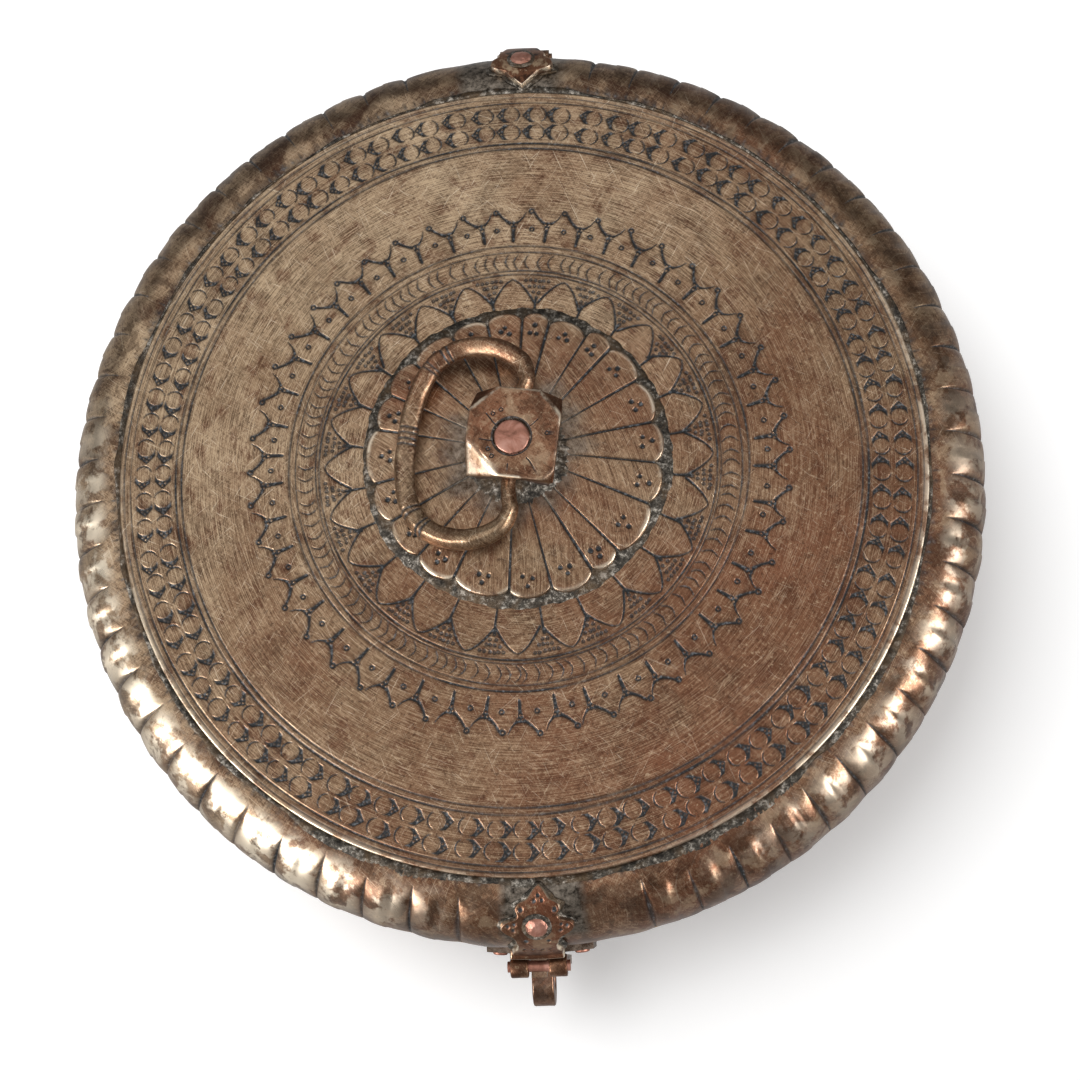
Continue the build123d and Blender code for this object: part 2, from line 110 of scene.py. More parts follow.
class Nodes:
    """A thin hand on one material's node tree."""

    def __init__(self, name):
        self.mat = bpy.data.materials.new(name)
        self.mat.use_nodes = True
        self.tree = self.mat.node_tree
        self.tree.nodes.clear()
        self.out = self.add("ShaderNodeOutputMaterial")
        self.coords = self.add("ShaderNodeTexCoord").outputs["Object"]

    def add(self, kind, **settings):
        node = self.tree.nodes.new(kind)
        for key, value in settings.items():
            setattr(node, key, value)
        return node

    def link(self, source, socket):
        self.tree.links.new(source, socket)

    def feed(self, socket, value):
        """Link a socket or set its value; a colour is given without its alpha."""
        if isinstance(value, bpy.types.NodeSocket):
            self.link(value, socket)
        else:
            socket.default_value = (*value, 1.0) if isinstance(value, tuple) else value

    def texture(self, vector, scale, detail, rough, warp=0.0):
        node = self.add("ShaderNodeTexNoise")
        for key, value in dict(Scale=scale, Detail=detail, Roughness=rough, Distortion=warp).items():
            node.inputs[key].default_value = value
        self.link(vector, node.inputs["Vector"])
        return node.outputs["Fac"]

    def noise(self, scale, detail=4.0, rough=0.55, stretch=1.0, turn=0.0, warp=0.0, tilt=0.0):
        """Noise in object space, scale in features per metre, finer across by the stretch."""
        mapping = self.add("ShaderNodeMapping", vector_type="TEXTURE")
        mapping.inputs["Scale"].default_value = (1.0, 1.0 / stretch, 1.0)
        mapping.inputs["Rotation"].default_value = (math.radians(tilt), 0, math.radians(turn))
        self.link(self.coords, mapping.inputs["Vector"])
        return self.texture(mapping.outputs["Vector"], scale, detail, rough, warp)

    def place(self):
        """The object's own x and y, in metres."""
        split = self.add("ShaderNodeSeparateXYZ")
        self.link(self.coords, split.inputs[0])
        return split.outputs[0], split.outputs[1]

    def ramp(self, fac, stops):
        """A colour ramp, stops as (position, colour or grey)."""
        node = self.add("ShaderNodeValToRGB")
        elements = node.color_ramp.elements
        while len(elements) < len(stops):
            elements.new(0.5)
        for element, (place, colour) in zip(elements, stops):
            element.position = place
            if isinstance(colour, (int, float)):
                colour = (colour, colour, colour)
            element.color = (*colour, 1.0)
        self.link(fac, node.inputs["Fac"])
        return node.outputs["Color"]

    def fade(self, fac, none, full):
        """0 where fac is at none and 1 where it is at full, straight between them."""
        return self.ramp(fac, sorted([(none, 0.0), (full, 1.0)]))

    def mix(self, fac, a, b):
        node = self.add("ShaderNodeMix", data_type="RGBA")
        for index, value in ((0, fac), (6, a), (7, b)):
            self.feed(node.inputs[index], value)
        return node.outputs[2]

    def lay(self, base, colour, fac, amount):
        """A colour laid over the base, fac times amount strong."""
        return self.mix(self.times(fac, amount), base, colour)

    def math(self, kind, a, b=0.0, clamp=False):
        node = self.add("ShaderNodeMath", operation=kind, use_clamp=clamp)
        self.feed(node.inputs[0], a)
        self.feed(node.inputs[1], b)
        return node.outputs[0]

    def plus(self, a, b):
        return self.math("ADD", a, b)

    def times(self, a, b):
        return self.math("MULTIPLY", a, b)

    def spread(self, value, low, high):
        """Map 0..1 to low..high."""
        return self.plus(self.times(value, high - low), low)

    def attribute(self, name):
        return self.add("ShaderNodeAttribute", attribute_name=name).outputs["Fac"]

    def bump(self, height, strength, distance, under=None):
        node = self.add("ShaderNodeBump")
        node.inputs["Strength"].default_value = strength
        node.inputs["Distance"].default_value = distance
        self.link(height, node.inputs["Height"])
        if under is not None:
            self.link(under, node.inputs["Normal"])
        return node.outputs["Normal"]

    def surface(self, **sockets):
        """A principled surface, sockets named with underscores for spaces."""
        shader = self.add("ShaderNodeBsdfPrincipled")
        for key, value in sockets.items():
            self.feed(shader.inputs[key.replace("_", " ")], value)
        self.link(shader.outputs["BSDF"], self.out.inputs["Surface"])
        return self.mat


def scratches(nodes, ways):
    """Brushed scratches as thin stretched noise: their mean, and the strongest of them."""
    total = None
    strongest = None
    for turn, tilt, scale, stretch in ways:
        fine = nodes.noise(scale, 3.0, 0.6, stretch, turn, 0.15, tilt)
        total = fine if total is None else nodes.plus(total, fine)
        strongest = fine if strongest is None else nodes.math("MAXIMUM", strongest, fine)
    return nodes.times(total, 1.0 / len(ways)), strongest


def polar_coords(nodes, centre):
    """Radius in metres and angle in radians round a centre given in millimetres."""
    x, y = (nodes.math("SUBTRACT", axis, middle * MM) for axis, middle in zip(nodes.place(), centre))
    radius = nodes.math("SQRT", nodes.plus(nodes.times(x, x), nodes.times(y, y)))
    return radius, nodes.math("ARCTAN2", y, x)


def polar_brush(nodes, radius, angle, fine, sweep):
    """Noise drawn out along circles: fine is lines per metre of radius."""
    join = nodes.add("ShaderNodeCombineXYZ")
    nodes.feed(join.inputs[0], nodes.times(radius, fine))
    nodes.feed(join.inputs[1], nodes.times(angle, sweep))
    return nodes.texture(join.outputs[0], 1.0, 3.0, 0.6)


DEEP = (0.038, 0.018, 0.011)
BROWN = (0.158, 0.078, 0.042)
OLIVE = (0.270, 0.178, 0.106)
GOLD = (0.580, 0.436, 0.284)
BRIGHT = (0.90, 0.78, 0.61)
RED = (0.200, 0.078, 0.042)
DIRT = (0.007, 0.008, 0.009)
DIRT_LIGHT = (0.085, 0.090, 0.096)
PAINTED_LIGHT_LEAN = (-1.2, 1.7)     # painted light: how fast the brass grows lighter and golden along x and y, per metre, towards the far left where the overhead lamp stands

# Directions of the scratches: turn, tilt, scale and stretch.
BRASS_SCRATCHES = [(40, 38, 90.0, 52.0), (-42, -34, 110.0, 46.0), (62, -42, 80.0, 58.0),
                   (-24, 44, 100.0, 50.0), (-68, 30, 70.0, 64.0)]
COPPER_SCRATCHES = [(20, 25, 600.0, 9.0), (-50, -30, 500.0, 12.0)]


def brass(name, gold=0.5, red=0.4, rough=(0.27, 0.48), brushed=None, scratch_depth=0.5, light_tone=0.0,
          blotch=0.0):
    """Aged brass: mottled brown patina, golden patches partly worn and partly painted light, scratches and
    dark engraving.

    gold and red shift how much of those tints shows, brushed is the centre of concentric
    brushing in millimetres, the light tone is how strongly painted light shows, the side
    towards the overhead lamp (far left) lighter and golden, the far side browner and redder,
    and blotch adds sharp-edged worn and stained patches.
    Vertex values: "cut" is engraving, creases and joints filled with dirt, and the knob's sides
    darker towards the bottom, "wear" is metal rubbed bright and painted highlights where
    the lamps fall, "soil" is brown grime and painted shade on the back of the box,
    and "tin" is grey solder smeared over the brass."""
    n = Nodes(name)
    cloud = n.noise(20.0, 6.0, 0.62, warp=0.6)
    stain = n.noise(60.0, 7.0, 0.68, warp=1.2)
    speck = n.noise(900.0, 4.0, 0.75)
    x, y = n.place()
    # Painted light: a lean across the object makes the brass lighter and golden towards the far left, where
    # the overhead lamp stands, and browner away from it.
    lean = n.plus(n.times(x, PAINTED_LIGHT_LEAN[0]), n.times(y, PAINTED_LIGHT_LEAN[1]))
    side = n.plus(n.times(lean, light_tone), cloud)
    base = n.ramp(side, [(0.30, BROWN), (0.53, OLIVE), (0.95, GOLD)])
    # The red tint grows where the brass is browner, partly with the painted light lean, so it is stronger
    # away from the lamp.
    front = n.spread(n.fade(side, 0.70, 0.34), 0.45, 1.45)
    warm = n.times(n.ramp(n.noise(13.0, 4.0, 0.5, warp=0.4), [(0.36, 0.1), (0.62, 1.0)]), red)
    base = n.lay(base, RED, warm, front)
    fine, lines = scratches(n, BRASS_SCRATCHES)
    streak = stain
    if brushed is not None:
        radius, angle = polar_coords(n, brushed)
        turning = polar_brush(n, radius, angle, 4200.0, 9.0)
        fine = n.plus(n.times(fine, 0.55), n.times(turning, 0.45))
        streak = polar_brush(n, radius, angle, 230.0, 10.0)
    # Scratches stand out more on the lit side of the painted light lean: a painted glint.
    lit_side_scratches = n.ramp(side, [(0.26, 0.40), (0.66, 1.0)])
    layers = [
        (DEEP, stain, 0.48, 0.68, 0.50),
        (n.mix(0.5, DEEP, RED), streak, 0.53, 0.64, 0.70),
        (GOLD, fine, 0.495, 0.575, n.times(lit_side_scratches, gold)),
        (DEEP, fine, 0.500, 0.420, n.times(lit_side_scratches, 0.80)),
        (BRIGHT, lines, 0.665, 0.735, n.times(lit_side_scratches, 0.95 * gold)),
        (DEEP, speck, 0.56, 0.66, 0.60),
        (GOLD, speck, 0.42, 0.34, 0.45),
    ]
    if blotch > 0.0:
        patch = n.noise(120.0, 7.0, 0.62, warp=0.25)
        layers += [(DEEP, patch, 0.52, 0.56, 0.75 * blotch), (GOLD, patch, 0.45, 0.40, 0.45 * blotch)]
    for colour, mask, none, full, amount in layers:
        base = n.lay(base, colour, n.fade(mask, none, full), amount)
    rub = n.ramp(n.noise(135.0, 7.0, 0.64, warp=0.25), [(0.47, 1.0), (0.55, 0.10)])
    # Bright metal laid from a vertex value: rubbed edges, and painted highlights on the disc's rim, the
    # lobes and the knob's front facet where the lamps fall.
    base = n.lay(base, BRIGHT, n.attribute("wear"), rub)
    # Deep colour laid from a vertex value: grime held round the engraving, and painted shade on the lobes at
    # the back.
    base = n.lay(base, DEEP, n.attribute("soil"), n.ramp(streak, [(0.36, 0.25), (0.60, 1.0)]))
    cut = n.attribute("cut")
    crease = n.mix(n.fade(n.noise(1100.0, 3.0), 0.52, 0.66), DIRT, DIRT_LIGHT)
    base = n.mix(cut, base, crease)
    grey = n.ramp(n.noise(520.0, 6.0, 0.78), [(0.38, (0.018, 0.014, 0.010)), (0.64, (0.25, 0.21, 0.17))])
    base = n.mix(n.attribute("tin"), base, grey)
    smooth = n.spread(n.fade(stain, 0.35, 0.70), *rough)
    normal = n.bump(fine, scratch_depth, 0.00012)
    return n.surface(Base_Color=base, Roughness=n.plus(smooth, n.times(cut, 0.25)),
                     Metallic=n.math("SUBTRACT", 0.94, n.times(cut, 0.55), clamp=True),
                     Normal=n.bump(stain, 0.25, 0.0002, normal))


def solder_material():
    """Dull grey tin solder with gritty dark pits and brassy smears."""
    n = Nodes("tin solder")
    grit = n.noise(520.0, 6.0, 0.78)
    lump = n.noise(90.0, 4.0, 0.6, warp=0.8)
    base = n.ramp(grit, [(0.40, (0.012, 0.010, 0.008)), (0.52, (0.056, 0.048, 0.038)),
                         (0.66, (0.42, 0.38, 0.33))])
    base = n.lay(base, (0.085, 0.052, 0.026), n.fade(lump, 0.46, 0.62), 0.65)
    normal = n.bump(lump, 0.5, 0.0008, n.bump(grit, 0.9, 0.0004))
    return n.surface(Base_Color=base, Roughness=n.spread(grit, 0.42, 0.66), Metallic=0.75, Normal=normal)


def copper_material():
    """Hammered copper, pink, with a dull oxide bloom."""
    n = Nodes("copper")
    bloom = n.noise(210.0, 5.0, 0.6, warp=0.6)
    base = n.ramp(bloom, [(0.30, (0.13, 0.055, 0.035)), (0.50, (0.34, 0.155, 0.11)),
                          (0.74, (0.50, 0.28, 0.22))])
    fine, _ = scratches(n, COPPER_SCRATCHES)
    normal = n.bump(n.noise(330.0, 2.0), 0.4, 0.0003, n.bump(fine, 0.5, 0.0001))
    return n.surface(Base_Color=base, Roughness=n.spread(bloom, 0.34, 0.52), Metallic=0.85, Normal=normal)


MAT_DISC = brass("engraved brass", gold=0.62, red=0.45, rough=(0.30, 0.50), brushed=(0, 0),
                 scratch_depth=0.6, light_tone=1.0)
MAT_LOBES = brass("lobed brass", gold=0.45, red=0.45, rough=(0.26, 0.44), scratch_depth=0.3,
                  light_tone=0.9, blotch=0.65)
MAT_ROSETTE = brass("rosette brass", gold=0.50, red=0.60, rough=(0.28, 0.46), brushed=(-60, -30),
                    scratch_depth=0.8)
MAT_FITTING = brass("cast brass", gold=0.20, red=0.95, rough=(0.28, 0.46), scratch_depth=0.4,
                    light_tone=0.7, blotch=0.6)
MAT_HINGE = brass("blackened brass", gold=0.0, red=0.30, rough=(0.30, 0.48), scratch_depth=0.4,
                  light_tone=-0.9, blotch=1.30)
MAT_BAIL = brass("handled brass", gold=0.70, red=0.55, rough=(0.32, 0.46), scratch_depth=0.4,
                 blotch=0.3)
MAT_INSIDE = brass("inner brass", gold=0.60, red=0.15, rough=(0.30, 0.50))
MAT_SOLDER = solder_material()
MAT_COPPER = copper_material()

# ---------------------------------------------------------------- mesh helpers


def joined(rows):
    """Rows of points or values as one flat run."""
    if isinstance(rows, np.ndarray):
        return rows.ravel()
    return np.concatenate([np.ravel(row) for row in rows])


def build(name, verts, faces, mat, body, slot, replaces=(), smooth=True, **values):
    """A mesh piece from millimetre vertices, quads or triangles, riding on a body.

    verts and each vertex value are one array or a list of rows."""
    mesh = bpy.data.meshes.new(name)
    verts = joined(verts).reshape(-1, 3) * MM
    mesh.from_pydata(verts.tolist(), [], [list(map(int, face)) for face in faces])
    mesh.materials.append(mat)
    for key, rows in values.items():
        layer = mesh.attributes.new(key, "FLOAT", "POINT")
        layer.data.foreach_set("value", joined(rows).astype(np.float32))
    mesh.validate()
    if smooth:
        mesh.polygons.foreach_set("use_smooth", [True] * len(mesh.polygons))
    obj = bpy.data.objects.new(name, mesh)
    bpy.context.scene.collection.objects.link(obj)
    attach(obj, body)
    if replaces:
        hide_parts(*replaces)
    return obj


def grid_faces(rows, columns, wrap=True, start=0):
    """Quads of a grid stored row by row; columns wrap round."""
    row = np.arange(rows - 1)[:, None]
    col = np.arange(columns if wrap else columns - 1)[None, :]
    nxt = (col + 1) % columns
    a = start + row * columns + col
    b = start + row * columns + nxt
    c = start + (row + 1) * columns + nxt
    d = start + (row + 1) * columns + col
    return np.stack([a, b, c, d], -1).reshape(-1, 4)


def clockwise(radius, angle_deg):
    """x and y of a point at an angle clockwise from the hasp side (-Y towards -X)."""
    a = np.radians(angle_deg)
    return -radius * np.sin(a), -radius * np.cos(a)


def hoop(radius, angles, height, centre=(0.0, 0.0)):
    """A ring of points at clockwise angles; radius and height are one value or one an angle."""
    x, y = clockwise(radius, angles)
    return np.stack([x + centre[0], y + centre[1], np.broadcast_to(height, x.shape)], -1)


def full_turn(count):
    """Even angles round a ring, in radians."""
    return np.arange(count) * 2.0 * math.pi / count


def circle(radius, a, height, ahead=0.0):
    """A ring of points at radian angles counter-clockwise from +X."""
    return np.stack([radius * np.cos(a), radius * np.sin(a) + ahead, np.broadcast_to(height, a.shape)], -1)


def apart(angles, centre):
    """How many degrees angles are from a centre, the short way round."""
    return np.abs((angles - centre + 180.0) % 360.0 - 180.0)

def smoothstep(low, high, value):
    t = np.clip((value - low) / (high - low), 0.0, 1.0)
    return t * t * (3.0 - 2.0 * t)


def ripple(angle_deg, waves, seed, size):
    """A smooth closed wobble round the box: a few random sine waves."""
    local = np.random.default_rng(seed)
    a = np.radians(angle_deg)
    total = np.zeros_like(a)
    for wave in waves:
        total += np.sin(a * wave + local.uniform(0, 6.28)) * local.uniform(0.5, 1.0)
    return total * size / len(waves)


# ---------------------------------------------------------------- engraved disc


class Engraving:
    """A band of the disc on a polar grid, where strokes are cut.

    Local stroke coordinates are x clockwise and y outward, in millimetres from the
    stroke's own centre."""

    def __init__(self, radii, count):
        self.radii = np.asarray(radii, dtype=float)
        self.count = count
        self.angles = np.arange(count) * 360.0 / count
        self.cut = np.zeros((len(self.radii), count))

    def window(self, radius, angle, half_x, half_y):
        """Rows, columns and local coordinates near a point."""
        rows = np.where(np.abs(self.radii - radius) <= half_y)[0]
        if len(rows) == 0:
            return None
        reach = math.degrees(half_x / max(radius - half_y, 1.0))
        step = 360.0 / self.count
        first = math.floor((angle - reach) / step)
        last = math.ceil((angle + reach) / step)
        cols = np.arange(first, last + 1)
        turn = np.radians(cols * step - angle)
        r = self.radii[rows][:, None]
        x = r * np.sin(turn)[None, :]
        y = r * np.cos(turn)[None, :] - radius
        return rows[:, None], (cols % self.count)[None, :], x, y

    def carve(self, radius, angle, half_x, half_y, depth, tilt=0.0):
        """Cut where depth(x, y) is above 0; tilt turns the stroke, in degrees."""
        place = self.window(radius, angle, half_x, half_y)
        if place is None:
            return
        rows, cols, x, y = place
        c = math.cos(math.radians(tilt))
        s = math.sin(math.radians(tilt))
        value = depth(x * c + y * s, y * c - x * s)
        self.cut[rows, cols] = np.maximum(self.cut[rows, cols], value)

    def line(self, radius, half_width, seed, wobble=0.12, faint=0.25):
        """A turned line all round, slightly wavering, faint in places."""
        shift = ripple(self.angles, (1, 2, 5), seed, wobble)
        strength = np.clip(0.85 + ripple(self.angles, (3, 7, 19, 31), seed + 1, faint * 2.0), 0.3, 1.0)
        gap = np.abs(self.radii[:, None] - radius - shift[None, :])
        value = smoothstep(half_width + 0.09, half_width - 0.09, gap) * strength[None, :]
        self.cut = np.maximum(self.cut, value)


EDGE = 0.10     # softness of a cut's edge


def inside(gap):
    """1 well inside (gap negative), 0 outside."""
    return smoothstep(EDGE, -EDGE, gap)


def stroke(points, widths):
    """A stroke along points, half widths at each point."""
    points = np.asarray(points, dtype=float)

    def depth(x, y):
        best = np.full(np.broadcast(x, y).shape, 9.0)
        for (ax, ay), (bx, by), wa, wb in zip(points[:-1], points[1:], widths[:-1], widths[1:]):
            dx, dy = bx - ax, by - ay
            t = np.clip(((x - ax) * dx + (y - ay) * dy) / (dx * dx + dy * dy), 0.0, 1.0)
            gap = np.hypot(x - ax - t * dx, y - ay - t * dy) - (wa + (wb - wa) * t)
            best = np.minimum(best, gap)
        return inside(best)

    return depth


def ring_dot(outer, inner, cx=0.0, cy=0.0):
    """A small punched ring with a bright middle."""

    def depth(x, y):
        gap = np.abs(np.hypot(x - cx, y - cy) - (outer + inner) / 2.0) - (outer - inner) / 2.0
        return inside(gap)

    return depth


def pearls(x, y, dots, radius):
    """1 except over small bright dots."""
    clear = np.ones(np.broadcast(x, y).shape)
    for cx, cy in dots:
        clear = np.minimum(clear, 1.0 - inside(np.hypot(x - cx, y - cy) - radius))
    return clear


SCALE_RING = 2.45           # radius of a round scale
SCALE_ARC_END = 1.22        # where its arc ends, in radians from the clockwise side


def scale_stamp(size, fill):
    """A round scale: a thin arc on its clockwise side, a dotted dark wedge on the other."""
    ring = SCALE_RING * size
    dots = [(-ring - 0.52, 0.74), (-ring - 0.54, -0.72), (-ring - 1.25, 0.02)]

    def depth(x, y):
        away = np.hypot(x, y)
        turn = np.abs(np.arctan2(y, x))
        width = 0.25 * (1.0 - 0.55 * turn / 1.25)
        arc = np.maximum(np.abs(away - ring) - width, (turn - SCALE_ARC_END) * 2.5)
        point = (-x - ring - 2.15) + np.abs(y) * 0.90
        wedge = np.maximum(np.maximum(ring + 0.02 - away, point), np.abs(y) - ring)
        wedge = np.maximum(wedge, x + 0.55)
        bright = 1.0 - (1.0 - pearls(x, y, dots, 0.27)) * fill
        return np.maximum(inside(arc), inside(wedge) * bright)

    return depth


def crown_stamp(pitch):
    """A three-armed mark: a tapering tail inward, a heavy arm and a thin arm outward."""
    end = 0.35 - pitch / 2.0
    heavy = stroke([(-0.1, -0.1), (-1.7, 0.75), (-3.1, 1.9), (end, 3.25)], [0.62, 0.42, 0.34, 0.36])
    thin = stroke([(0.2, 0.0), (1.55, 0.95), (2.6, 2.1), (3.35, 3.6)], [0.55, 0.26, 0.19, 0.12])
    tail = stroke([(0.0, 0.1), (0.0, -1.8), (0.05, -4.9)], [0.78, 0.50, 0.40])
    dots = [(-0.62, -0.05), (0.55, 0.0), (0.0, -1.1)]

    def depth(x, y):
        web = np.maximum(-(y + 1.3), np.maximum(y - 0.75, np.abs(x) - 0.95 - 0.35 * y))
        shape = np.maximum(np.maximum(heavy(x, y), thin(x, y)), np.maximum(tail(x, y), inside(web)))
        return shape * pearls(x, y, dots, 0.30)

    return depth


OUTER_STAMPS = 84
CROWNS = 46
CRESCENTS = 118
ARCHES = 24
ARCH_HALF = 5.75            # half the width of an arch
# Turned lines, as a share of the disc's radius with the line's half width.
OUTER_LINES = [(0.9900, 0.16), (0.9755, 0.20), (0.8590, 0.30), (0.8440, 0.26)]
INNER_LINES = [(0.5712, 0.25), (0.5550, 0.17), (0.5035, 0.19), (0.4945, 0.22)]
# Punched rings between the arches: share of the radius, half the row's breadth, number.
PEARL_ROWS = [(0.4785, 3.1, 6), (0.4625, 1.75, 4), (0.4475, 0.75, 2), (0.4350, 0.0, 1)]


def share(radius):
    """A radius given as a share of the disc's."""
    return radius * DISC_R


def turn_lines(band, lines, seed):
    for index, (place, half_width) in enumerate(lines):
        band.line(share(place), half_width, seed + index)


def engrave_outer(band):
    """Two rows of stamps between pairs of turned lines."""
    for index in range(OUTER_STAMPS):
        angle = (index + rng.uniform(-0.10, 0.10)) * 360.0 / OUTER_STAMPS
        for radius in (share(0.9430), share(0.8915)):
            fill = rng.uniform(0.3, 1.0)
            place = radius + rng.uniform(-0.25, 0.25)
            stamp = scale_stamp(0.93 * rng.uniform(0.93, 1.06), fill)
            band.carve(place, angle + rng.uniform(-0.12, 0.12), 5.0, 3.2, stamp, rng.uniform(-9, 9))
    turn_lines(band, OUTER_LINES, 11)


def engrave_crowns(band):
    """The ring of crowns, with a punched ring at each tip and in each scallop."""
    for index in range(CROWNS):
        angle = (index + rng.uniform(-0.08, 0.08)) * 360.0 / CROWNS
        radius = share(0.634) + rng.uniform(-0.35, 0.35)
        pitch = 2.0 * math.pi * radius / CROWNS
        band.carve(radius, angle, 5.6, 5.6, crown_stamp(pitch), rng.uniform(-4, 4))
        between = angle - 180.0 / CROWNS
        dot = between + rng.uniform(-0.3, 0.3)
        band.carve(share(0.669) + rng.uniform(-0.2, 0.3), dot, 1.2, 1.2, ring_dot(0.86, 0.30))
        dot = between + rng.uniform(-0.4, 0.4)
        band.carve(share(0.617) + rng.uniform(-0.3, 0.3), dot, 1.2, 1.2, ring_dot(0.78, 0.30))


def engrave_inner(band):
    """Turned lines, a ring of crescents, pointed arches and the dots above them."""
    turn_lines(band, INNER_LINES, 21)
    angle = 0.0
    while angle < 359.0:
        lean = rng.uniform(0.5, 1.2)
        points = [(lean * 0.9, 2.15), (0.1, 1.3), (-0.35, 0.1), (0.0, -1.1), (lean, -2.2)]
        crescent = stroke(points, [0.10, 0.16, 0.20, 0.18, 0.10])
        band.carve(share(0.5285), angle, 2.2, 2.8, crescent, rng.uniform(-6, 6))
        angle += 360.0 / CRESCENTS * rng.uniform(0.75, 1.25)
    parts = [i / 6.0 for i in range(-6, 7)]
    arch = stroke([(ARCH_HALF * part, -6.2 * abs(part) ** 1.75 - 0.9 * abs(part)) for part in parts],
                  [0.18 + 0.16 * abs(part) for part in parts])
    stem = stroke([(0.0, 3.2), (0.05, 0.0), (0.0, -4.5)], [0.42, 0.30, 0.24])
    for index in range(ARCHES):
        step = 360.0 / ARCHES
        angle = (index + rng.uniform(-0.05, 0.05)) * step
        between = angle + step / 2.0
        band.carve(share(0.4835) + rng.uniform(-0.4, 0.2), angle, 7.0, 8.5, arch)
        band.carve(share(0.400), between, 1.2, 5.0, stem, rng.uniform(-3, 3))
        for place, spread, number in PEARL_ROWS:
            for across in np.linspace(-spread, spread, number) if number > 1 else [0.0]:
                turn = between + math.degrees((across + rng.uniform(-0.2, 0.2)) / share(place))
                band.carve(share(place) + rng.uniform(-0.2, 0.2), turn, 0.9, 0.9, ring_dot(0.50, 0.16))


def zipper(lower, count_lower, upper, count_upper):
    """Triangles joining two rings with different numbers of vertices."""
    faces = []
    i = 0
    j = 0
    while i < count_lower or j < count_upper:
        if j >= count_upper or (i < count_lower and (i + 1) / count_lower <= (j + 1) / count_upper):
            faces.append((lower + i % count_lower, lower + (i + 1) % count_lower, upper + j % count_upper))
            i += 1
        else:
            faces.append((upper + j % count_upper, lower + i % count_lower, upper + (j + 1) % count_upper))
            j += 1
    return faces


CUT_DEPTH = 0.34
BURR = 0.022


def halo(cut, rows, columns):
    """Dirt held round the cuts: the cut values spread out over a few grid steps."""
    total = np.zeros_like(cut)
    weight = 0.0
    padded = np.pad(cut, ((rows, rows), (0, 0)))
    for i in range(-rows, rows + 1):
        for j in range(-columns, columns + 1, max(columns // 3, 1)):
            share_here = math.exp(-2.0 * ((i / rows) ** 2 + (j / columns) ** 2))
            total += share_here * np.roll(padded[rows + i:rows + i + len(cut)], j, axis=1)
            weight += share_here
    return np.clip(1.6 * total / weight, 0.0, 1.0)


def edge_highlight(angles):
    """How strong the painted highlight on the disc's rolled edge is: most at the right and the front left,
    where the side and key lamps stand.
    """
    right = smoothstep(62.0, 22.0, np.abs(angles - 288.0))
    front = smoothstep(50.0, 15.0, np.abs(angles - 48.0))
    return 0.18 + 0.82 * np.maximum(right, 0.8 * front)


ENGRAVING_STEP = 0.26
# The disc's rolled edge and underside: radius, height and how strong its painted highlight is.
DISC_EDGE = [(DISC_R - 0.28, DISC_TOP + 0.05, 0.5), (DISC_R + 0.05, DISC_TOP - 0.03, 0.75),
             (DISC_R + 0.30, DISC_TOP - 0.28, 0.6), (DISC_R + 0.34, DISC_TOP - 0.7, 0.1)]
DISC_EDGE += [(radius, DISC_LOW[2], 0.0) for radius in (DISC_R - 0.1, DISC_R - 3.0, share(0.355), 8.0, 2.6)]
DISC_EDGE_COUNT = 720


def lid_disc():
    """The flat disc as one mesh: plain and engraved bands, a rolled edge and an underside."""
    inner = Engraving(np.arange(share(0.355), share(0.578), ENGRAVING_STEP), 1300)
    crowns = Engraving(np.arange(share(0.582), share(0.690), ENGRAVING_STEP), 1750)
    plain = Engraving(np.linspace(share(0.700), share(0.832), 12), 900)
    outer = Engraving(np.arange(share(0.8365), share(0.9960), ENGRAVING_STEP), 2500)
    engrave_inner(inner)
    engrave_crowns(crowns)
    engrave_outer(outer)
    verts = []
    values = dict(cut=[], wear=[], soil=[])
    faces = []
    last = None
    total = 0
    for band in (inner, crowns, plain, outer):
        radii = band.radii[:, None]
        warp = ripple(band.angles, (2, 3, 5), 5, 0.10)[None, :] * (radii / DISC_R) ** 2
        rim = 0.30 * smoothstep(share(0.978), share(0.9945), radii)
        burr = BURR * np.sin(np.clip(band.cut, 0, 1) * math.pi)
        z = DISC_TOP - DISC_SUNK + warp + rim - CUT_DEPTH * band.cut + burr
        verts.append(hoop(radii, band.angles[None, :], z))
        values["cut"].append(band.cut)
        # Painted highlight on the disc's rim, following the lamps round the box.
        rubbed = edge_highlight(band.angles)[None, :] * smoothstep(share(0.982), share(0.9945), radii)
        values["wear"].append(0.35 * rubbed)
        values["soil"].append(0.75 * halo(band.cut, 5, band.count // 300))
        faces.extend(grid_faces(len(band.radii), band.count, start=total).tolist())
        if last is not None:
            faces.extend(zipper(last[0], last[1], total, band.count))
        last = (total + (len(band.radii) - 1) * band.count, band.count)
        total += band.cut.size
    angles = np.arange(DISC_EDGE_COUNT) * 360.0 / DISC_EDGE_COUNT
    for radius, z, shine in DISC_EDGE:
        verts.append(hoop(radius, angles, z))
        values["wear"].append(shine * edge_highlight(angles))
        for key in ("cut", "soil"):
            values[key].append(np.zeros(DISC_EDGE_COUNT))
    faces.extend(zipper(last[0], last[1], total, DISC_EDGE_COUNT))
    faces.extend(grid_faces(len(DISC_EDGE), DISC_EDGE_COUNT, start=total).tolist())
    build("lid_disc_look", verts, faces, MAT_DISC, "lid", "engraved_brass", ("lid_disc",), **values)


# ---------------------------------------------------------------- lobed shoulder and wall

LEFT_GROOVES = [8.1 + 6.04 * k for k in range(27)]
RIGHT_GROOVES = [191.4 + 5.9 * k for k in range(27)]
GROOVES = LEFT_GROOVES + RIGHT_GROOVES


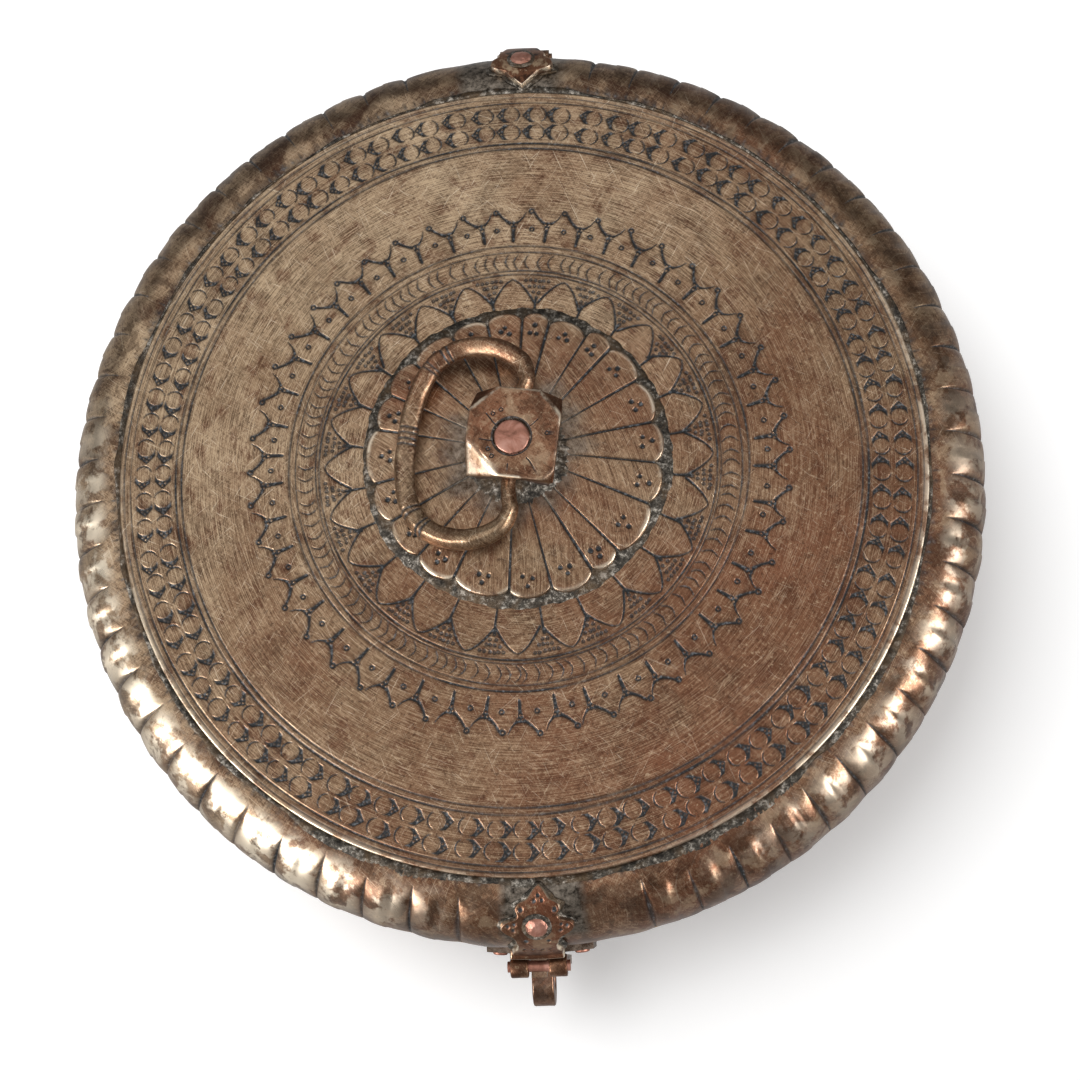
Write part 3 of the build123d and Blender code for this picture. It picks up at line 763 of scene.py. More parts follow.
def lobe_angles():
    """Angles round the box, crowded near each groove."""
    near = [0.0, 0.07, 0.15, 0.26, 0.42, 0.68, 1.05, 1.55, 2.15, 2.9]
    angles = set()
    for groove in GROOVES:
        for gap in near:
            angles.add(round((groove + gap) % 360.0, 3))
            angles.add(round((groove - gap) % 360.0, 3))
    for plain in np.arange(166.5, 190.5, 0.6):
        angles.add(round(float(plain), 3))
    for plain in np.arange(346.5, 367.0, 0.6):
        angles.add(round(float(plain) % 360.0, 3))
    return np.array(sorted(angles))


def profile(part, rise, run_radius, foot_radius, sign):
    """A rounded profile point: part 0 at the seam, 1 at the far end; with its normal."""
    angle = part * math.pi / 2.0
    run = run_radius - foot_radius
    x = run * np.maximum(np.cos(angle), 1e-9) ** (2.0 / FULLNESS)
    y = rise * np.maximum(np.sin(angle), 1e-9) ** (2.0 / FULLNESS)
    nx = (x / run) ** (FULLNESS - 1.0) / run
    ny = (y / rise) ** (FULLNESS - 1.0) / rise
    size = np.sqrt(nx * nx + ny * ny)
    return foot_radius + x, sign * y, nx / size, sign * ny / size


def groove_fields(angles):
    """For each angle: distance to the nearest groove and that groove's random habits."""
    grooves = np.array(sorted(g % 360.0 for g in GROOVES))
    habits = np.random.default_rng(7).uniform(0.0, 1.0, (len(grooves), 4))
    gap = (angles[:, None] - grooves[None, :] + 180.0) % 360.0 - 180.0
    nearest = np.argmin(np.abs(gap), 1)
    return gap[np.arange(len(angles)), nearest], habits[nearest]


INNER_SKIN = (3.2, 1.7)     # how far the inner skin stands in from the crests, along and down
HASP_TIN_AT = -HASP_TURN - 0.9
HINGE_TIN_AT = 179.5


def lobed_skin(parts, sign, rise, foot_radius, lip):
    """Vertices, faces and values of a lobed wall: outer skin, lip, then inner skin.

    sign is 1 for the lid and -1 for the base, and lip is the rings past the outer skin."""
    angles = lobe_angles()
    none = np.zeros(len(angles))
    gap, habit = groove_fields(angles)
    across = gap * math.pi / 180.0 * BODY_R
    verts = []
    values = dict(cut=[], tin=[], wear=[], soil=[])

    def add(ring, **given):
        verts.append(ring)
        for key, rows in values.items():
            rows.append(given.get(key, none))

    wander = ripple(angles, (2, 3), 31, 0.15)
    toward = np.clip(1.0 - np.abs(gap) / 3.0, 0.0, 1.0)
    swell = 0.42 * toward ** 2.6 + (0.40 + 0.45 * habit[:, 3]) * np.exp(-np.abs(across) / 0.95)
    step = 0.22 * np.clip(gap / 3.0, -1.0, 1.0) * (toward < 0.98)
    far = 1.0 - 0.55 * smoothstep(95.0, 60.0, np.abs(angles - 180.0))
    # Painted shade: the lobes towards the back, round the hinge, are coloured darker.
    back = 0.60 * smoothstep(85.0, 35.0, np.abs(angles - 180.0))
    ragged = [ripple(angles * 3.0, (5, 9, 17), seed, 2.5) for seed in (3, 4)]
    tinned = smoothstep(8.0, 5.0, apart(angles, HINGE_TIN_AT) + ragged[0])
    tinned = tinned + smoothstep(6.6, 4.2, apart(angles, HASP_TIN_AT) + ragged[1])
    # Painted highlight: bright metal laid on the lobes at the front left and the right, where the key and
    # side lamps stand, strongest on the lid's shoulder and fainter in the grooves.
    handled = 0.03 + smoothstep(52.0, 24.0, apart(angles, 56.0))
    handled = handled + 0.42 * smoothstep(46.0, 18.0, apart(angles, 296.0))
    handled = handled * (1.0 - 0.8 * toward ** 2)
    for part in parts:
        r, z, nx, nz = profile(part, rise, BODY_R, foot_radius, sign)
        start = 0.985 - 0.10 * habit[:, 0]
        grow = smoothstep(start, start - 0.36, part) if sign > 0 else smoothstep(0.98, 0.5, part)
        teardrop = 0.55 - 0.12 * habit[:, 1]
        belly = np.exp(-((part - teardrop) / 0.26) ** 2)
        width = 0.16 + (0.30 + 0.55 * habit[:, 2]) * belly * grow
        crease = smoothstep(width + 0.22, width * 0.35, np.abs(across + wander * 2.0))
        crease = crease * smoothstep(0.0, 0.12, grow)
        quiet = (0.22 + 0.78 * float(smoothstep(0.0, 0.42, part))) * far
        depth = (swell + step + 0.60 * crease) * grow * quiet
        depth = np.minimum(depth + 0.12 * grow * (1.0 + np.sin(angles * 0.9 + part * 7.0)), 2.6)
        level = smoothstep(0.30, 0.50, part) if sign > 0 else 0.0
        band = smoothstep(0.12, 0.42, part) * smoothstep(1.0, 0.82, part) if sign > 0 else 0.3
        add(hoop(r - depth * nx, angles, SEAM_Z + z - depth * nz), soil=back,
            cut=np.clip(crease * (0.75 + 0.25 * habit[:, 3]), 0, 1),
            tin=np.clip(tinned * level, 0, 1), wear=np.clip(handled * band, 0, 1))
    for radius, height in lip:
        faded = values["cut"][-1] * 0.4 + 0.25
        add(hoop(radius, angles, height), soil=back, cut=faded, tin=values["tin"][-1])
    for part in reversed(parts):
        r, z, nx, nz = profile(part, rise, BODY_R, foot_radius, sign)
        add(hoop(r - INNER_SKIN[0] * nx, angles, SEAM_Z + z - INNER_SKIN[1] * nz))
    faces = grid_faces(len(verts), len(angles))
    first = np.arange(len(angles))
    after = (first + 1) % len(angles)
    last = (len(verts) - 1) * len(angles)
    close = np.stack([last + first, last + after, after, first], -1)
    return np.concatenate(verts), np.concatenate([faces, close]), values


def seam_dots(verts, cut):
    """Small punched marks along the shoulder's inner edge."""
    radius = np.hypot(verts[:, 0], verts[:, 1])
    angle = np.degrees(np.arctan2(-verts[:, 0], -verts[:, 1])) % 360.0
    row = smoothstep(1.0, 0.6, np.abs(radius - DISC_R - 1.9)) * (verts[:, 2] > DISC_TOP - 2.0)
    beat = np.abs((angle / 1.44) % 1.0 - 0.5)
    return np.maximum(cut, 0.8 * row * smoothstep(0.34, 0.42, beat))


def lid_shoulder():
    rise = SHOULDER_HIGH[2] - SEAM_Z + 0.1
    low = math.asin(((SHOULDER_LOW[2] - SEAM_Z) / rise) ** (FULLNESS / 2.0)) / (math.pi / 2.0)
    parts = [low] + [0.10 + 0.86 * i / 26.0 for i in range(27)] + [0.985]
    lip = [(DISC_R + 1.7, DISC_TOP - 0.10), (DISC_R + 0.7, DISC_TOP - 0.25), (DISC_R + 0.15, DISC_TOP - 0.9)]
    verts, faces, values = lobed_skin(parts, 1.0, DISC_TOP - SEAM_Z, SHOULDER_R, lip)
    values["cut"] = seam_dots(verts, joined(values["cut"]))
    build("lid_shoulder_look", verts, faces, MAT_LOBES, "lid", "brass", ("lid_shoulder",), **values)


def base_wall():
    parts = [0.02] + [0.06 + 0.88 * i / 26.0 for i in range(27)] + [0.99]
    floor_top = node_box("base_floor")[1][2]
    foot = FLOOR_R - 2.95
    lip = [(FLOOR_R - 1.0, 0.0), (foot, 0.0), (foot, floor_top), (FLOOR_R + 0.8, floor_top + 0.4)]
    verts, faces, values = lobed_skin(parts, -1.0, SEAM_Z, FLOOR_R, lip)
    verts[:, 2] = np.clip(verts[:, 2], 0.0, WALL_HIGH[2] + 1.3)
    build("base_wall_look", verts, faces[:, ::-1], MAT_LOBES, "base", "brass", ("base_wall",), **values)


lid_disc()
lid_shoulder()
base_wall()

# ---------------------------------------------------------------- rosette and solder

PETAL_WIDTHS = [1.35, 1.0, 1.05, 1.0, 1.3, 0.9, 0.95, 1.1, 0.9, 0.85, 0.65, 0.95, 0.65, 1.0, 1.1, 1.0, 1.0,
                1.3, 0.75, 1.0, 1.0]
FIRST_PETAL = 3.6
ROSETTE_COUNT = 1500
ROSETTE_INNER = 5.2


def petal_edges():
    """Angles of the lines between petals."""
    edges = [FIRST_PETAL]
    for width in PETAL_WIDTHS[:-1]:
        edges.append(edges[-1] + 360.0 * width / sum(PETAL_WIDTHS))
    return np.array(edges)


def dome_height(radius):
    return ROSETTE_EDGE + (ROSETTE_PEAK - ROSETTE_EDGE) * (1.0 - (radius / ROSETTE_R) ** 2)


def petal_dots(edges, x, y):
    """Three punched dots near the end of each petal."""
    dot = np.zeros_like(x)
    for a, b in zip(edges, np.append(edges[1:], edges[0] + 360.0)):
        middle = math.radians((a + b) / 2.0 + rng.uniform(-0.8, 0.8))
        spread = min(1.25, 0.16 * (b - a) / 2.0)
        for dx, place in ((0.0, 35.6), (-spread, 33.7), (spread, 33.4)):
            place += rng.uniform(-0.5, 0.5)
            dx += rng.uniform(-0.15, 0.15)
            cx = -place * math.sin(middle) - dx * math.cos(middle)
            cy = -place * math.cos(middle) + dx * math.sin(middle)
            gap = np.hypot(x - cx, y - cy) - rng.uniform(0.52, 0.70)
            dot = np.maximum(dot, smoothstep(0.16, -0.10, gap))
    return dot


def rosette():
    """A domed plate of petals with scalloped ends, engraved lines and three dots each."""
    angles = np.arange(ROSETTE_COUNT) * 360.0 / ROSETTE_COUNT
    edges = petal_edges()
    index = np.searchsorted(edges, angles, side="right") - 1
    wrap = index < 0
    start = np.where(wrap, edges[-1] - 360.0, edges[index])
    end = np.where(wrap, edges[0], np.append(edges, edges[0] + 360.0)[index + 1])
    across = (angles - start) / (end - start) * 2.0 - 1.0
    habit = np.random.default_rng(9).uniform(0, 1, (len(edges), 3))[index]
    tip = ROSETTE_R - 1.3 * habit[:, 0]
    round_end = np.sqrt(np.clip(1.0 - 0.96 * np.abs(across) ** 2.1, 0.0, 1.0))
    border = tip - (3.6 - habit[:, 1]) * (1.0 - round_end)
    steps = [np.linspace(0.0, 0.62, 22)[:-1], np.linspace(0.62, 0.985, 46), [0.993, 0.998, 1.0, 1.0]]
    steps = np.concatenate(steps)
    radius = ROSETTE_INNER + (border[None, :] - ROSETTE_INNER) * steps[:, None]
    x, y = clockwise(radius, angles[None, :])
    line_gap = np.minimum(angles - start, end - angles)[None, :] * math.pi / 180.0 * radius
    wander = ripple(angles, (11, 23, 37), 12, 0.10)[None, :]
    half_width = np.clip(0.14 + 0.22 * (radius - 12.0) / 26.0, 0.10, 0.34) + wander
    line = smoothstep(half_width + 0.10, half_width - 0.10, line_gap) * smoothstep(11.0, 14.0, radius)
    dot = petal_dots(edges, x, y)
    cut = np.maximum(line, dot)
    pillow = 0.32 * (1.0 - across[None, :] ** 4) * smoothstep(10.0, 30.0, radius)
    drop = np.zeros(len(steps))
    drop[-4:] = (0.10, 0.35, 0.75, 1.6)
    z = dome_height(radius) - 0.32 + pillow - 0.42 * line - 0.5 * dot - drop[:, None]
    low = hoop(radius[0], angles, ROSETTE_EDGE + 1.0, ROSETTE_AT)
    edge = smoothstep(0.955, 0.99, steps)[:, None] * (0.20 + 0.50 * habit[:, 2])[None, :]
    smear = smoothstep(22.0, 14.0, radius + ripple(angles, (2, 3, 7, 12), 33, 7.0)[None, :])
    none = np.zeros(ROSETTE_COUNT)
    build("rosette_look", [low, hoop(radius, angles[None, :], z, ROSETTE_AT)],
          grid_faces(len(steps) + 1, ROSETTE_COUNT), MAT_ROSETTE, "lid", "brass", ("rosette",),
          cut=[none, cut], wear=[none, edge], tin=[none, 0.75 * smear], soil=[none, 0.55 * halo(cut, 4, 6)])


def lumpy_ring(name, centre, rows, count, seed, replaces=(), breadth=1.0, foot=0.0):
    """A soldered ring: rows of (radius, wobble, height, lump) from inside to outside.

    breadth, one value an angle, narrows the run towards the foot radius."""
    angles = np.arange(count) * 360.0 / count
    local = np.random.default_rng(seed)
    verts = []
    for k, (radius, wobble, height, lump) in enumerate(rows):
        r = radius + ripple(angles, (2, 3, 5, 8, 13), seed, wobble)
        r = r + ripple(angles, (29, 47, 71), seed + 2, wobble * 0.5)
        z = height + ripple(angles, (7, 17, 31, 53), seed + 3 + k, lump)
        z = z + local.normal(0.0, lump * 0.28, count)
        verts.append(hoop(foot + (r - foot) * breadth, angles, z, centre))
    build(name, verts, grid_faces(len(rows), count), MAT_SOLDER, "lid", "solder", replaces)


SEAM_COUNT = 1440


def seam_solder():
    """Tin run along the joint of disc and shoulder, broad at the front, thin elsewhere."""
    top = DISC_TOP
    angles = np.arange(SEAM_COUNT) * 360.0 / SEAM_COUNT
    broad = 0.36 + 0.62 * smoothstep(62.0, 30.0, apart(angles, 338.0))
    broad = broad + 0.35 * smoothstep(14.0, 8.0, apart(angles, 179.0))
    broad = broad + 0.22 * smoothstep(56.0, 30.0, apart(angles, 62.0))
    broad = broad + ripple(angles, (5, 9, 14, 23), 57, 0.5)
    rows = [
        (DISC_R + 0.10, 0.05, top - 0.95, 0.03),
        (DISC_R + 0.30, 0.10, top - 0.32, 0.10),
        (DISC_R + 0.70, 0.25, top - 0.02, 0.30),
        (DISC_R + 1.15, 0.55, top + 0.14, 0.40),
        (DISC_R + 1.75, 0.90, top + 0.14, 0.34),
        (DISC_R + 2.60, 1.20, top - 0.02, 0.20),
        (DISC_R + 3.10, 1.30, top - 0.70, 0.05),
    ]
    lumpy_ring("seam_solder_look", (0, 0), rows, SEAM_COUNT, 51, ("seam_solder",),
               np.clip(broad, 0.26, 1.1), DISC_R + 0.1)


def rosette_solder():
    top = DISC_TOP - DISC_SUNK
    rows = [
        (ROSETTE_R - 5.0, 0.0, top + 0.7, 0.05),
        (ROSETTE_R - 3.0, 0.2, top + 0.95, 0.20),
        (ROSETTE_R - 1.6, 0.3, top + 0.95, 0.30),
        (ROSETTE_R - 0.6, 0.3, top + 0.80, 0.30),
        (ROSETTE_R + 0.2, 0.5, top + 0.55, 0.25),
        (ROSETTE_R + 0.9, 0.7, top + 0.25, 0.15),
        (ROSETTE_R + 1.5, 0.8, top - 0.20, 0.03),
    ]
    lumpy_ring("rosette_solder_look", ROSETTE_AT, rows, 960, 61, ("rosette_solder",))


def knob_solder():
    base = dome_height(13.0)
    rows = [
        (8.0, 0.2, base + 1.2, 0.10),
        (10.2, 0.8, base + 0.85, 0.30),
        (11.8, 1.0, base + 0.35, 0.25),
        (13.0, 1.5, base - 0.05, 0.14),
        (14.3, 2.0, base - 0.55, 0.05),
    ]
    lumpy_ring("knob_solder_look", KNOB_AT, rows, 300, 71)


# ---------------------------------------------------------------- knob, stud and handle


def turned(verts, turn_deg, centre=(0.0, 0.0)):
    """Turn vertices about Z (counter-clockwise degrees), then move them."""
    verts = np.asarray(verts, dtype=float)
    c = math.cos(math.radians(turn_deg))
    s = math.sin(math.radians(turn_deg))
    x = verts[:, 0] * c - verts[:, 1] * s + centre[0]
    y = verts[:, 0] * s + verts[:, 1] * c + centre[1]
    return np.stack([x, y, verts[:, 2]], -1)


# Corner facets of the knob: direction, distance and how fast they lean out downward.
KNOB_CORNERS = [(45.0, 11.8, 0.85), (135.0, 11.4, 0.8), (225.0, 9.6, 1.1), (315.0, 14.3, 0.7)]
# Strokes on its top (direction in radians, start, end, half width) and punched rings.
KNOB_MARKS = [(2.6, 5.2, 8.4, 0.16), (3.45, 5.2, 8.6, 0.14), (0.62, 5.4, 7.6, 0.12),
              (5.35, 7.4, 9.6, 0.18), (4.7, 8.2, 9.8, 0.16)]
KNOB_DOTS = [(2.05, 7.6), (2.35, 7.7), (3.75, 6.7), (4.05, 7.1), (0.2, 9.0)]
# Its upper edge: depth, how far it stands in, and how bright it is rubbed.
KNOB_EDGE = [(0.34, 0.75, 0.0), (0.42, 0.40, 0.3), (0.52, 0.18, 0.8), (0.68, 0.05, 1.0), (0.95, 0.0, 0.6)]
SQUARENESS = 60


def knob():
    """A square block with its corners cut to uneven facets, a few marks and rings on top."""
    count = 720
    a = full_turn(count)
    square = np.abs(np.cos(a)) ** SQUARENESS + np.abs(np.sin(a)) ** SQUARENESS
    square = KNOB_HALF / square ** (1.0 / SQUARENESS)
    top = KNOB_HIGH[2]
    height = top - KNOB_LOW[2]

    def border(depth, draw):
        total = (square - draw) ** -SQUARENESS
        for corner, reach, slope in KNOB_CORNERS:
            ahead = np.cos(a - math.radians(corner))
            facet = np.where(ahead > 0.2, (reach + slope * depth) / np.maximum(ahead, 0.2), 60.0)
            total = total + facet ** -SQUARENESS
        return total ** (-1.0 / SQUARENESS)

    hammer = ripple(np.degrees(a), (3, 5, 9), 16, 0.10)
    verts = []
    cuts = []
    wears = []
    for r in np.concatenate([[4.85], np.linspace(5.2, 9.2, 30)]):
        x, y = r * np.cos(a), r * np.sin(a) + KNOB_ASIDE * smoothstep(4.9, 9.2, r)
        cut = np.full(count, 0.9 if r < 5.3 else 0.0)
        for angle, start, end, half in KNOB_MARKS:
            away = np.abs(r * np.sin(a - angle))
            if start <= r <= end:
                cut = np.maximum(cut, smoothstep(half + 0.12, half - 0.10, away) * (np.cos(a - angle) > 0))
        for angle, place in KNOB_DOTS:
            gap = np.hypot(x - place * math.cos(angle), y - place * math.sin(angle))
            cut = np.maximum(cut, smoothstep(0.24, 0.06, np.abs(gap - 0.45)))
        z = top - 0.30 * (r / 11.0) ** 3 - 0.22 * cut + 0.05 * np.sin(3 * a + r)
        verts.append(np.stack([x, y, z], -1))
        cuts.append(cut)
        wears.append(np.zeros(count))
    # Painted highlight on the knob's front-left facet, towards the key lamp.
    lit_facet = 0.30 * smoothstep(0.80, 0.95, np.cos(a - math.radians(225.0)))
    for depth, inset, shine in KNOB_EDGE + [(depth, 0.0, 0.0) for depth in np.linspace(1.4, height, 20)]:
        r = border(depth, 2.8 * smoothstep(1.0, height, depth)) - inset + hammer * 0.5
        verts.append(circle(r, a, top - depth, KNOB_ASIDE))
        # The lower part of the block's sides is coloured darker towards the bottom.
        cuts.append(np.full(count, 0.75 * float(smoothstep(height - 7.0, height, depth))))
        wears.append(np.clip(shine + lit_facet * (depth < 6.0), 0.0, 1.0))
    verts = turned(np.concatenate(verts), KNOB_TURN, KNOB_AT)
    build("knob_look", verts, grid_faces(len(cuts), count), MAT_FITTING, "lid", "brass", ("knob",),
          cut=cuts, wear=wears)


# Rings of a hammered head: share of the radius, share of the height and unevenness.
HEAD_RINGS = [(0.42, 0.93, 0.07), (0.78, 0.68, 0.05), (1.0, 0.12, 0.02), (1.0, -0.8, 0.0)]
HEAD_SIDES = 11


def hammered_head(radius, height, seed):
    """A low dome of random facets, as left by a hammer."""
    local = np.random.default_rng(seed)
    verts = [(0.0, 0.0, height)]
    for share_r, share_h, jitter in HEAD_RINGS:
        for k in range(HEAD_SIDES):
            a = 2.0 * math.pi * (k + local.uniform(-0.22, 0.22)) / HEAD_SIDES
            r = radius * (share_r + local.uniform(-jitter, jitter))
            z = height * (share_h + local.uniform(-jitter, jitter))
            verts.append((r * math.cos(a), r * math.sin(a), z))
    faces = [(0, 1 + k, 1 + (k + 1) % HEAD_SIDES) for k in range(HEAD_SIDES)]
    faces += grid_faces(len(HEAD_RINGS), HEAD_SIDES, start=1).tolist()
    return np.array(verts), faces


# The stud's head and its end with the washer, from the middle out: radius and height.
STUD_HEAD = [(0.4, 0.30), (1.6, 0.30), (2.8, 0.27), (3.6, 0.22), (4.15, 0.14), (4.42, 0.0), (4.5, -0.3)]
STUD_END = [(2.4, 4.0), (2.4, 0.0), (4.0, -0.1), (4.0, -0.7), (3.2, -1.35), (0.3, -1.4)]


def knob_stud():
    """The copper stud's broad flat head, hammered, and its riveted end under the disc."""
    count = 96
    a = full_turn(count)
    wobble = ripple(np.degrees(a), (2, 3, 7), 18, 0.16)
    head = []
    for r, z in STUD_HEAD:
        pits = np.random.default_rng(int(r * 10)).normal(0.0, 0.025, count)
        head.append(circle(r + wobble * (r / 4.5), a, KNOB_HIGH[2] + z - 0.35 + pits))
    faces = grid_faces(len(STUD_HEAD), count).tolist() + [list(range(count))[::-1]]
    build("knob_stud_look", turned(np.concatenate(head), KNOB_TURN, KNOB_AT), faces, MAT_COPPER, "lid",
          "copper", ("knob_stud",))
    under = np.concatenate([circle(r, a, DISC_LOW[2] - 1.6 + z) for r, z in STUD_END])
    faces = grid_faces(len(STUD_END), count).tolist() + [list(range(5 * count, 6 * count))]
    build("knob_stud_end_look", turned(under, KNOB_TURN, KNOB_AT), faces, MAT_COPPER, "lid", "copper")


def catmull(points, steps):
    """A smooth curve through points."""
    points = [np.array(p, dtype=float) for p in points]
    points = [2 * points[0] - points[1]] + points + [2 * points[-1] - points[-2]]
    out = []
    for p0, p1, p2, p3 in zip(points[:-3], points[1:-2], points[2:-1], points[3:]):
        for k in range(steps):
            t = k / steps
            out.append(0.5 * ((2 * p1) + (p2 - p0) * t + (2 * p0 - 5 * p1 + 4 * p2 - p3) * t ** 2
                              + (3 * p1 - p0 - 3 * p2 + p3) * t ** 3))
    out.append(points[-2])
    return np.array(out)


# Half of the handle from its eye in the knob to near its middle: x, y and bar radius.
BAIL_HALF = [(0.0, 7.0, 1.85), (0.0, 11.6, 1.9), (0.6, 14.6, 2.0), (1.2, 18.0, 2.2), (-1.4, 22.8, 2.5),
             (-9.2, 26.0, 2.75), (-18.4, 25.0, 2.85), (-25.2, 19.6, 2.9), (-28.5, 10.0, 2.95)]
BAIL_MIDDLE = (-29.2, 0.0, 3.0)
# Turned rings on the bar, by distance along it from the middle.
BAIL_RINGS = [-26.5, -24.9, -20.6, -19.2, -2.6, -1.1, 0.5, 2.0, 19.8, 21.2, 25.2, 26.6]
UP = np.array([0.0, 0.0, 1.0])


def bail():
    """The drop handle: a bar of softly eight-sided section with groups of turned rings."""
    path = BAIL_HALF + [BAIL_MIDDLE] + [(x, -y, r) for x, y, r in reversed(BAIL_HALF)]
    curve = catmull([(x, y, 0.0, r) for x, y, r in path], 26)
    centre = curve[:, :3]
    along = np.gradient(centre, axis=0)
    along /= np.linalg.norm(along, axis=1)[:, None]
    length = np.concatenate([[0.0], np.cumsum(np.linalg.norm(np.diff(centre, axis=0), axis=1))])
    half = length[-1] / 2.0
    count = 40
    a = full_turn(count)
    section = 1.0 / (np.abs(np.cos(a - 0.5)) ** 4 + np.abs(np.sin(a - 0.5)) ** 4) ** 0.16
    section = section / section.max()
    verts = []
    cuts = []
    for k in range(len(centre)):
        side = np.cross(along[k], UP)
        groove = max(float(smoothstep(0.46, 0.16, abs(length[k] - half - place))) for place in BAIL_RINGS)
        r = curve[k, 3] * section * (1.0 - 0.10 * groove)
        r = r * (1.0 + 0.012 * np.sin(length[k] * 0.9 + 3.0 * a))
        verts.append(centre[k] + np.outer(r * np.cos(a), side) + np.outer(r * np.sin(a), UP))
        cuts.append(np.full(count, groove * 0.95))
    x, y, z = np.concatenate(verts).T
    c = math.cos(math.radians(-BAIL_REST))
    s = math.sin(math.radians(-BAIL_REST))
    verts = turned(np.stack([x * c + z * s, y, z * c - x * s + BAIL_AXIS_Z], -1), KNOB_TURN, KNOB_AT)
    rows = len(centre)
    faces = grid_faces(rows, count).tolist()
    faces += [list(range(count))[::-1], list(range((rows - 1) * count, rows * count))]
    build("bail_look", verts, faces, MAT_BAIL, "handle", "worn_brass", ("bail",), cut=cuts)


# ---------------------------------------------------------------- hasp, hinge and staple


def leaf_site(extra, turn, side, skew):
    """Where a leaf lies on the lid: the profile from the disc edge outward and down, the
    distance along it, the turn round Z, the side of Y (1 back, -1 front) and the skew."""
    parts = np.linspace(0.985, 0.14, 60)
    r, z, _, _ = profile(parts, DISC_TOP - SEAM_Z, BODY_R, SHOULDER_R, 1.0)
    points = np.array([(DISC_R + 0.9, DISC_TOP - 0.05)] + list(zip(r, SEAM_Z + z)) + extra)
    length = np.concatenate([[0.0], np.cumsum(np.hypot(*np.diff(points, axis=0).T))])
    return points, length, turn, side, skew


LEAF_STEP = 0.22
LEAF_COLUMNS = 61


def leaf(name, outline, site, thickness, lift, mat, slot, replaces=(), dots=(), edge=0.45):
    """A shaped plate laid along a site's profile: outline gives (distance, half width)."""
    path, length, turn, side_y, skew = site
    outline = np.array(outline, dtype=float)
    rows = np.arange(outline[0, 0], outline[-1, 0] + 0.01, LEAF_STEP)
    width = np.interp(rows, outline[:, 0], outline[:, 1])
    kernel = np.array([1, 2, 3, 2, 1]) / 9.0
    width = np.convolve(np.pad(width, 2, mode="edge"), kernel, "valid")[:, None]
    r = np.interp(rows, length, path[:, 0])
    z = np.interp(rows, length, path[:, 1])
    dr, dz = np.gradient(r), np.gradient(z)
    size = np.hypot(dr, dz)
    x = width * np.sin(np.linspace(-1, 1, LEAF_COLUMNS) * math.pi / 2.0)
    ends = np.minimum(rows - rows[0], rows[-1] - rows)[:, None]
    near = np.clip(np.minimum(width - np.abs(x), ends) / edge, 0.0, 1.0)
    rounding = np.sqrt(np.clip(1.0 - (1.0 - near) ** 2, 0.0, 1.0))
    cut = np.zeros(x.shape)
    for dx, ds, dot_r in dots:
        gap = np.hypot(x - dx, rows[:, None] - ds)
        cut = np.maximum(cut, smoothstep(dot_r + 0.15, dot_r - 0.12, gap))
    top = lift + thickness * (0.45 + 0.55 * rounding) - 0.35 * cut
    bend = x * x / (2.0 * BODY_R)
    aside = x + skew * (1.0 - rows / rows[-1])[:, None]
    verts = []
    for height in (top, np.full(x.shape, lift)):
        out = r[:, None] - (dz / size)[:, None] * height - bend
        verts.append(np.stack([aside, out * side_y, z[:, None] + (dr / size)[:, None] * height], -1))
    verts = np.concatenate(verts).reshape(-1, 3)
    count = len(rows)
    face_top = grid_faces(count, LEAF_COLUMNS, wrap=False)
    under = count * LEAF_COLUMNS
    final = LEAF_COLUMNS - 1
    loop = [k * LEAF_COLUMNS for k in range(count)]
    loop += [(count - 1) * LEAF_COLUMNS + c for c in range(1, LEAF_COLUMNS)]
    loop += [k * LEAF_COLUMNS + final for k in range(count - 2, -1, -1)] + list(range(final - 1, 0, -1))
    rim = [(a, b, b + under, a + under) for a, b in zip(loop, loop[1:] + loop[:1])]
    faces = face_top.tolist() + (face_top[:, ::-1] + under).tolist() + rim
    if side_y < 0:
        faces = [face[::-1] for face in faces]
    none = np.zeros(x.shape)
    build(name, turned(verts, turn), faces, mat, "lid", slot, replaces,
          cut=[cut, none], wear=[smoothstep(0.9, 0.2, near), none])


def solder_skirt(name, outline, site, seed):
    """Lumpy tin standing out round a leaf."""
    local = np.random.default_rng(seed)
    wide = [(max(outline[0][0] - 0.7, 0.1), 0.6)]
    wide += [(place, half + local.uniform(0.5, 1.8)) for place, half in outline[1:-1]]
    wide.append(outline[-1])
    leaf(name, wide, site, 0.75, 0.0, MAT_SOLDER, "solder", edge=1.3)


BARREL_SOFT = 0.35


def barrel(name, x0, x1, y, z, radius, turn, seed):
    """A hammered hinge barrel along X with soft ends."""
    a = full_turn(40)
    hammer = ripple(np.degrees(a), (2, 3, 5), seed, 0.12)
    ends = [(0.0, radius * 0.52), (0.0, radius - BARREL_SOFT),
            (BARREL_SOFT * 0.3, radius - BARREL_SOFT * 0.3), (BARREL_SOFT, radius)]
    rows = [(x0 + inset, r) for inset, r in ends] + [(x1 - inset, r) for inset, r in reversed(ends)]
    verts = []
    for x, r in rows:
        around = r + (hammer if r > radius * 0.6 else 0.0)
        verts.append(np.stack([np.full(len(a), x), y + around * np.cos(a), z + around * np.sin(a)], -1))
    verts = turned(np.concatenate(verts), turn)
    build(name, verts, grid_faces(len(rows), len(a)), MAT_FITTING, "lid", "brass")


def on_leaf(site, place, height):
    """A point a height above a site's profile, a distance along it, with its lean in degrees."""
    path, length = site[:2]
    r, z = np.interp(place, length, path[:, 0]), np.interp(place, length, path[:, 1])
    ahead_r = np.interp(place + 1.0, length, path[:, 0]) - r
    ahead_z = np.interp(place + 1.0, length, path[:, 1]) - z
    size = math.hypot(ahead_r, ahead_z)
    centre = (r - ahead_z / size * height, z + ahead_r / size * height)
    return centre, math.degrees(math.atan2(-ahead_z, ahead_r))


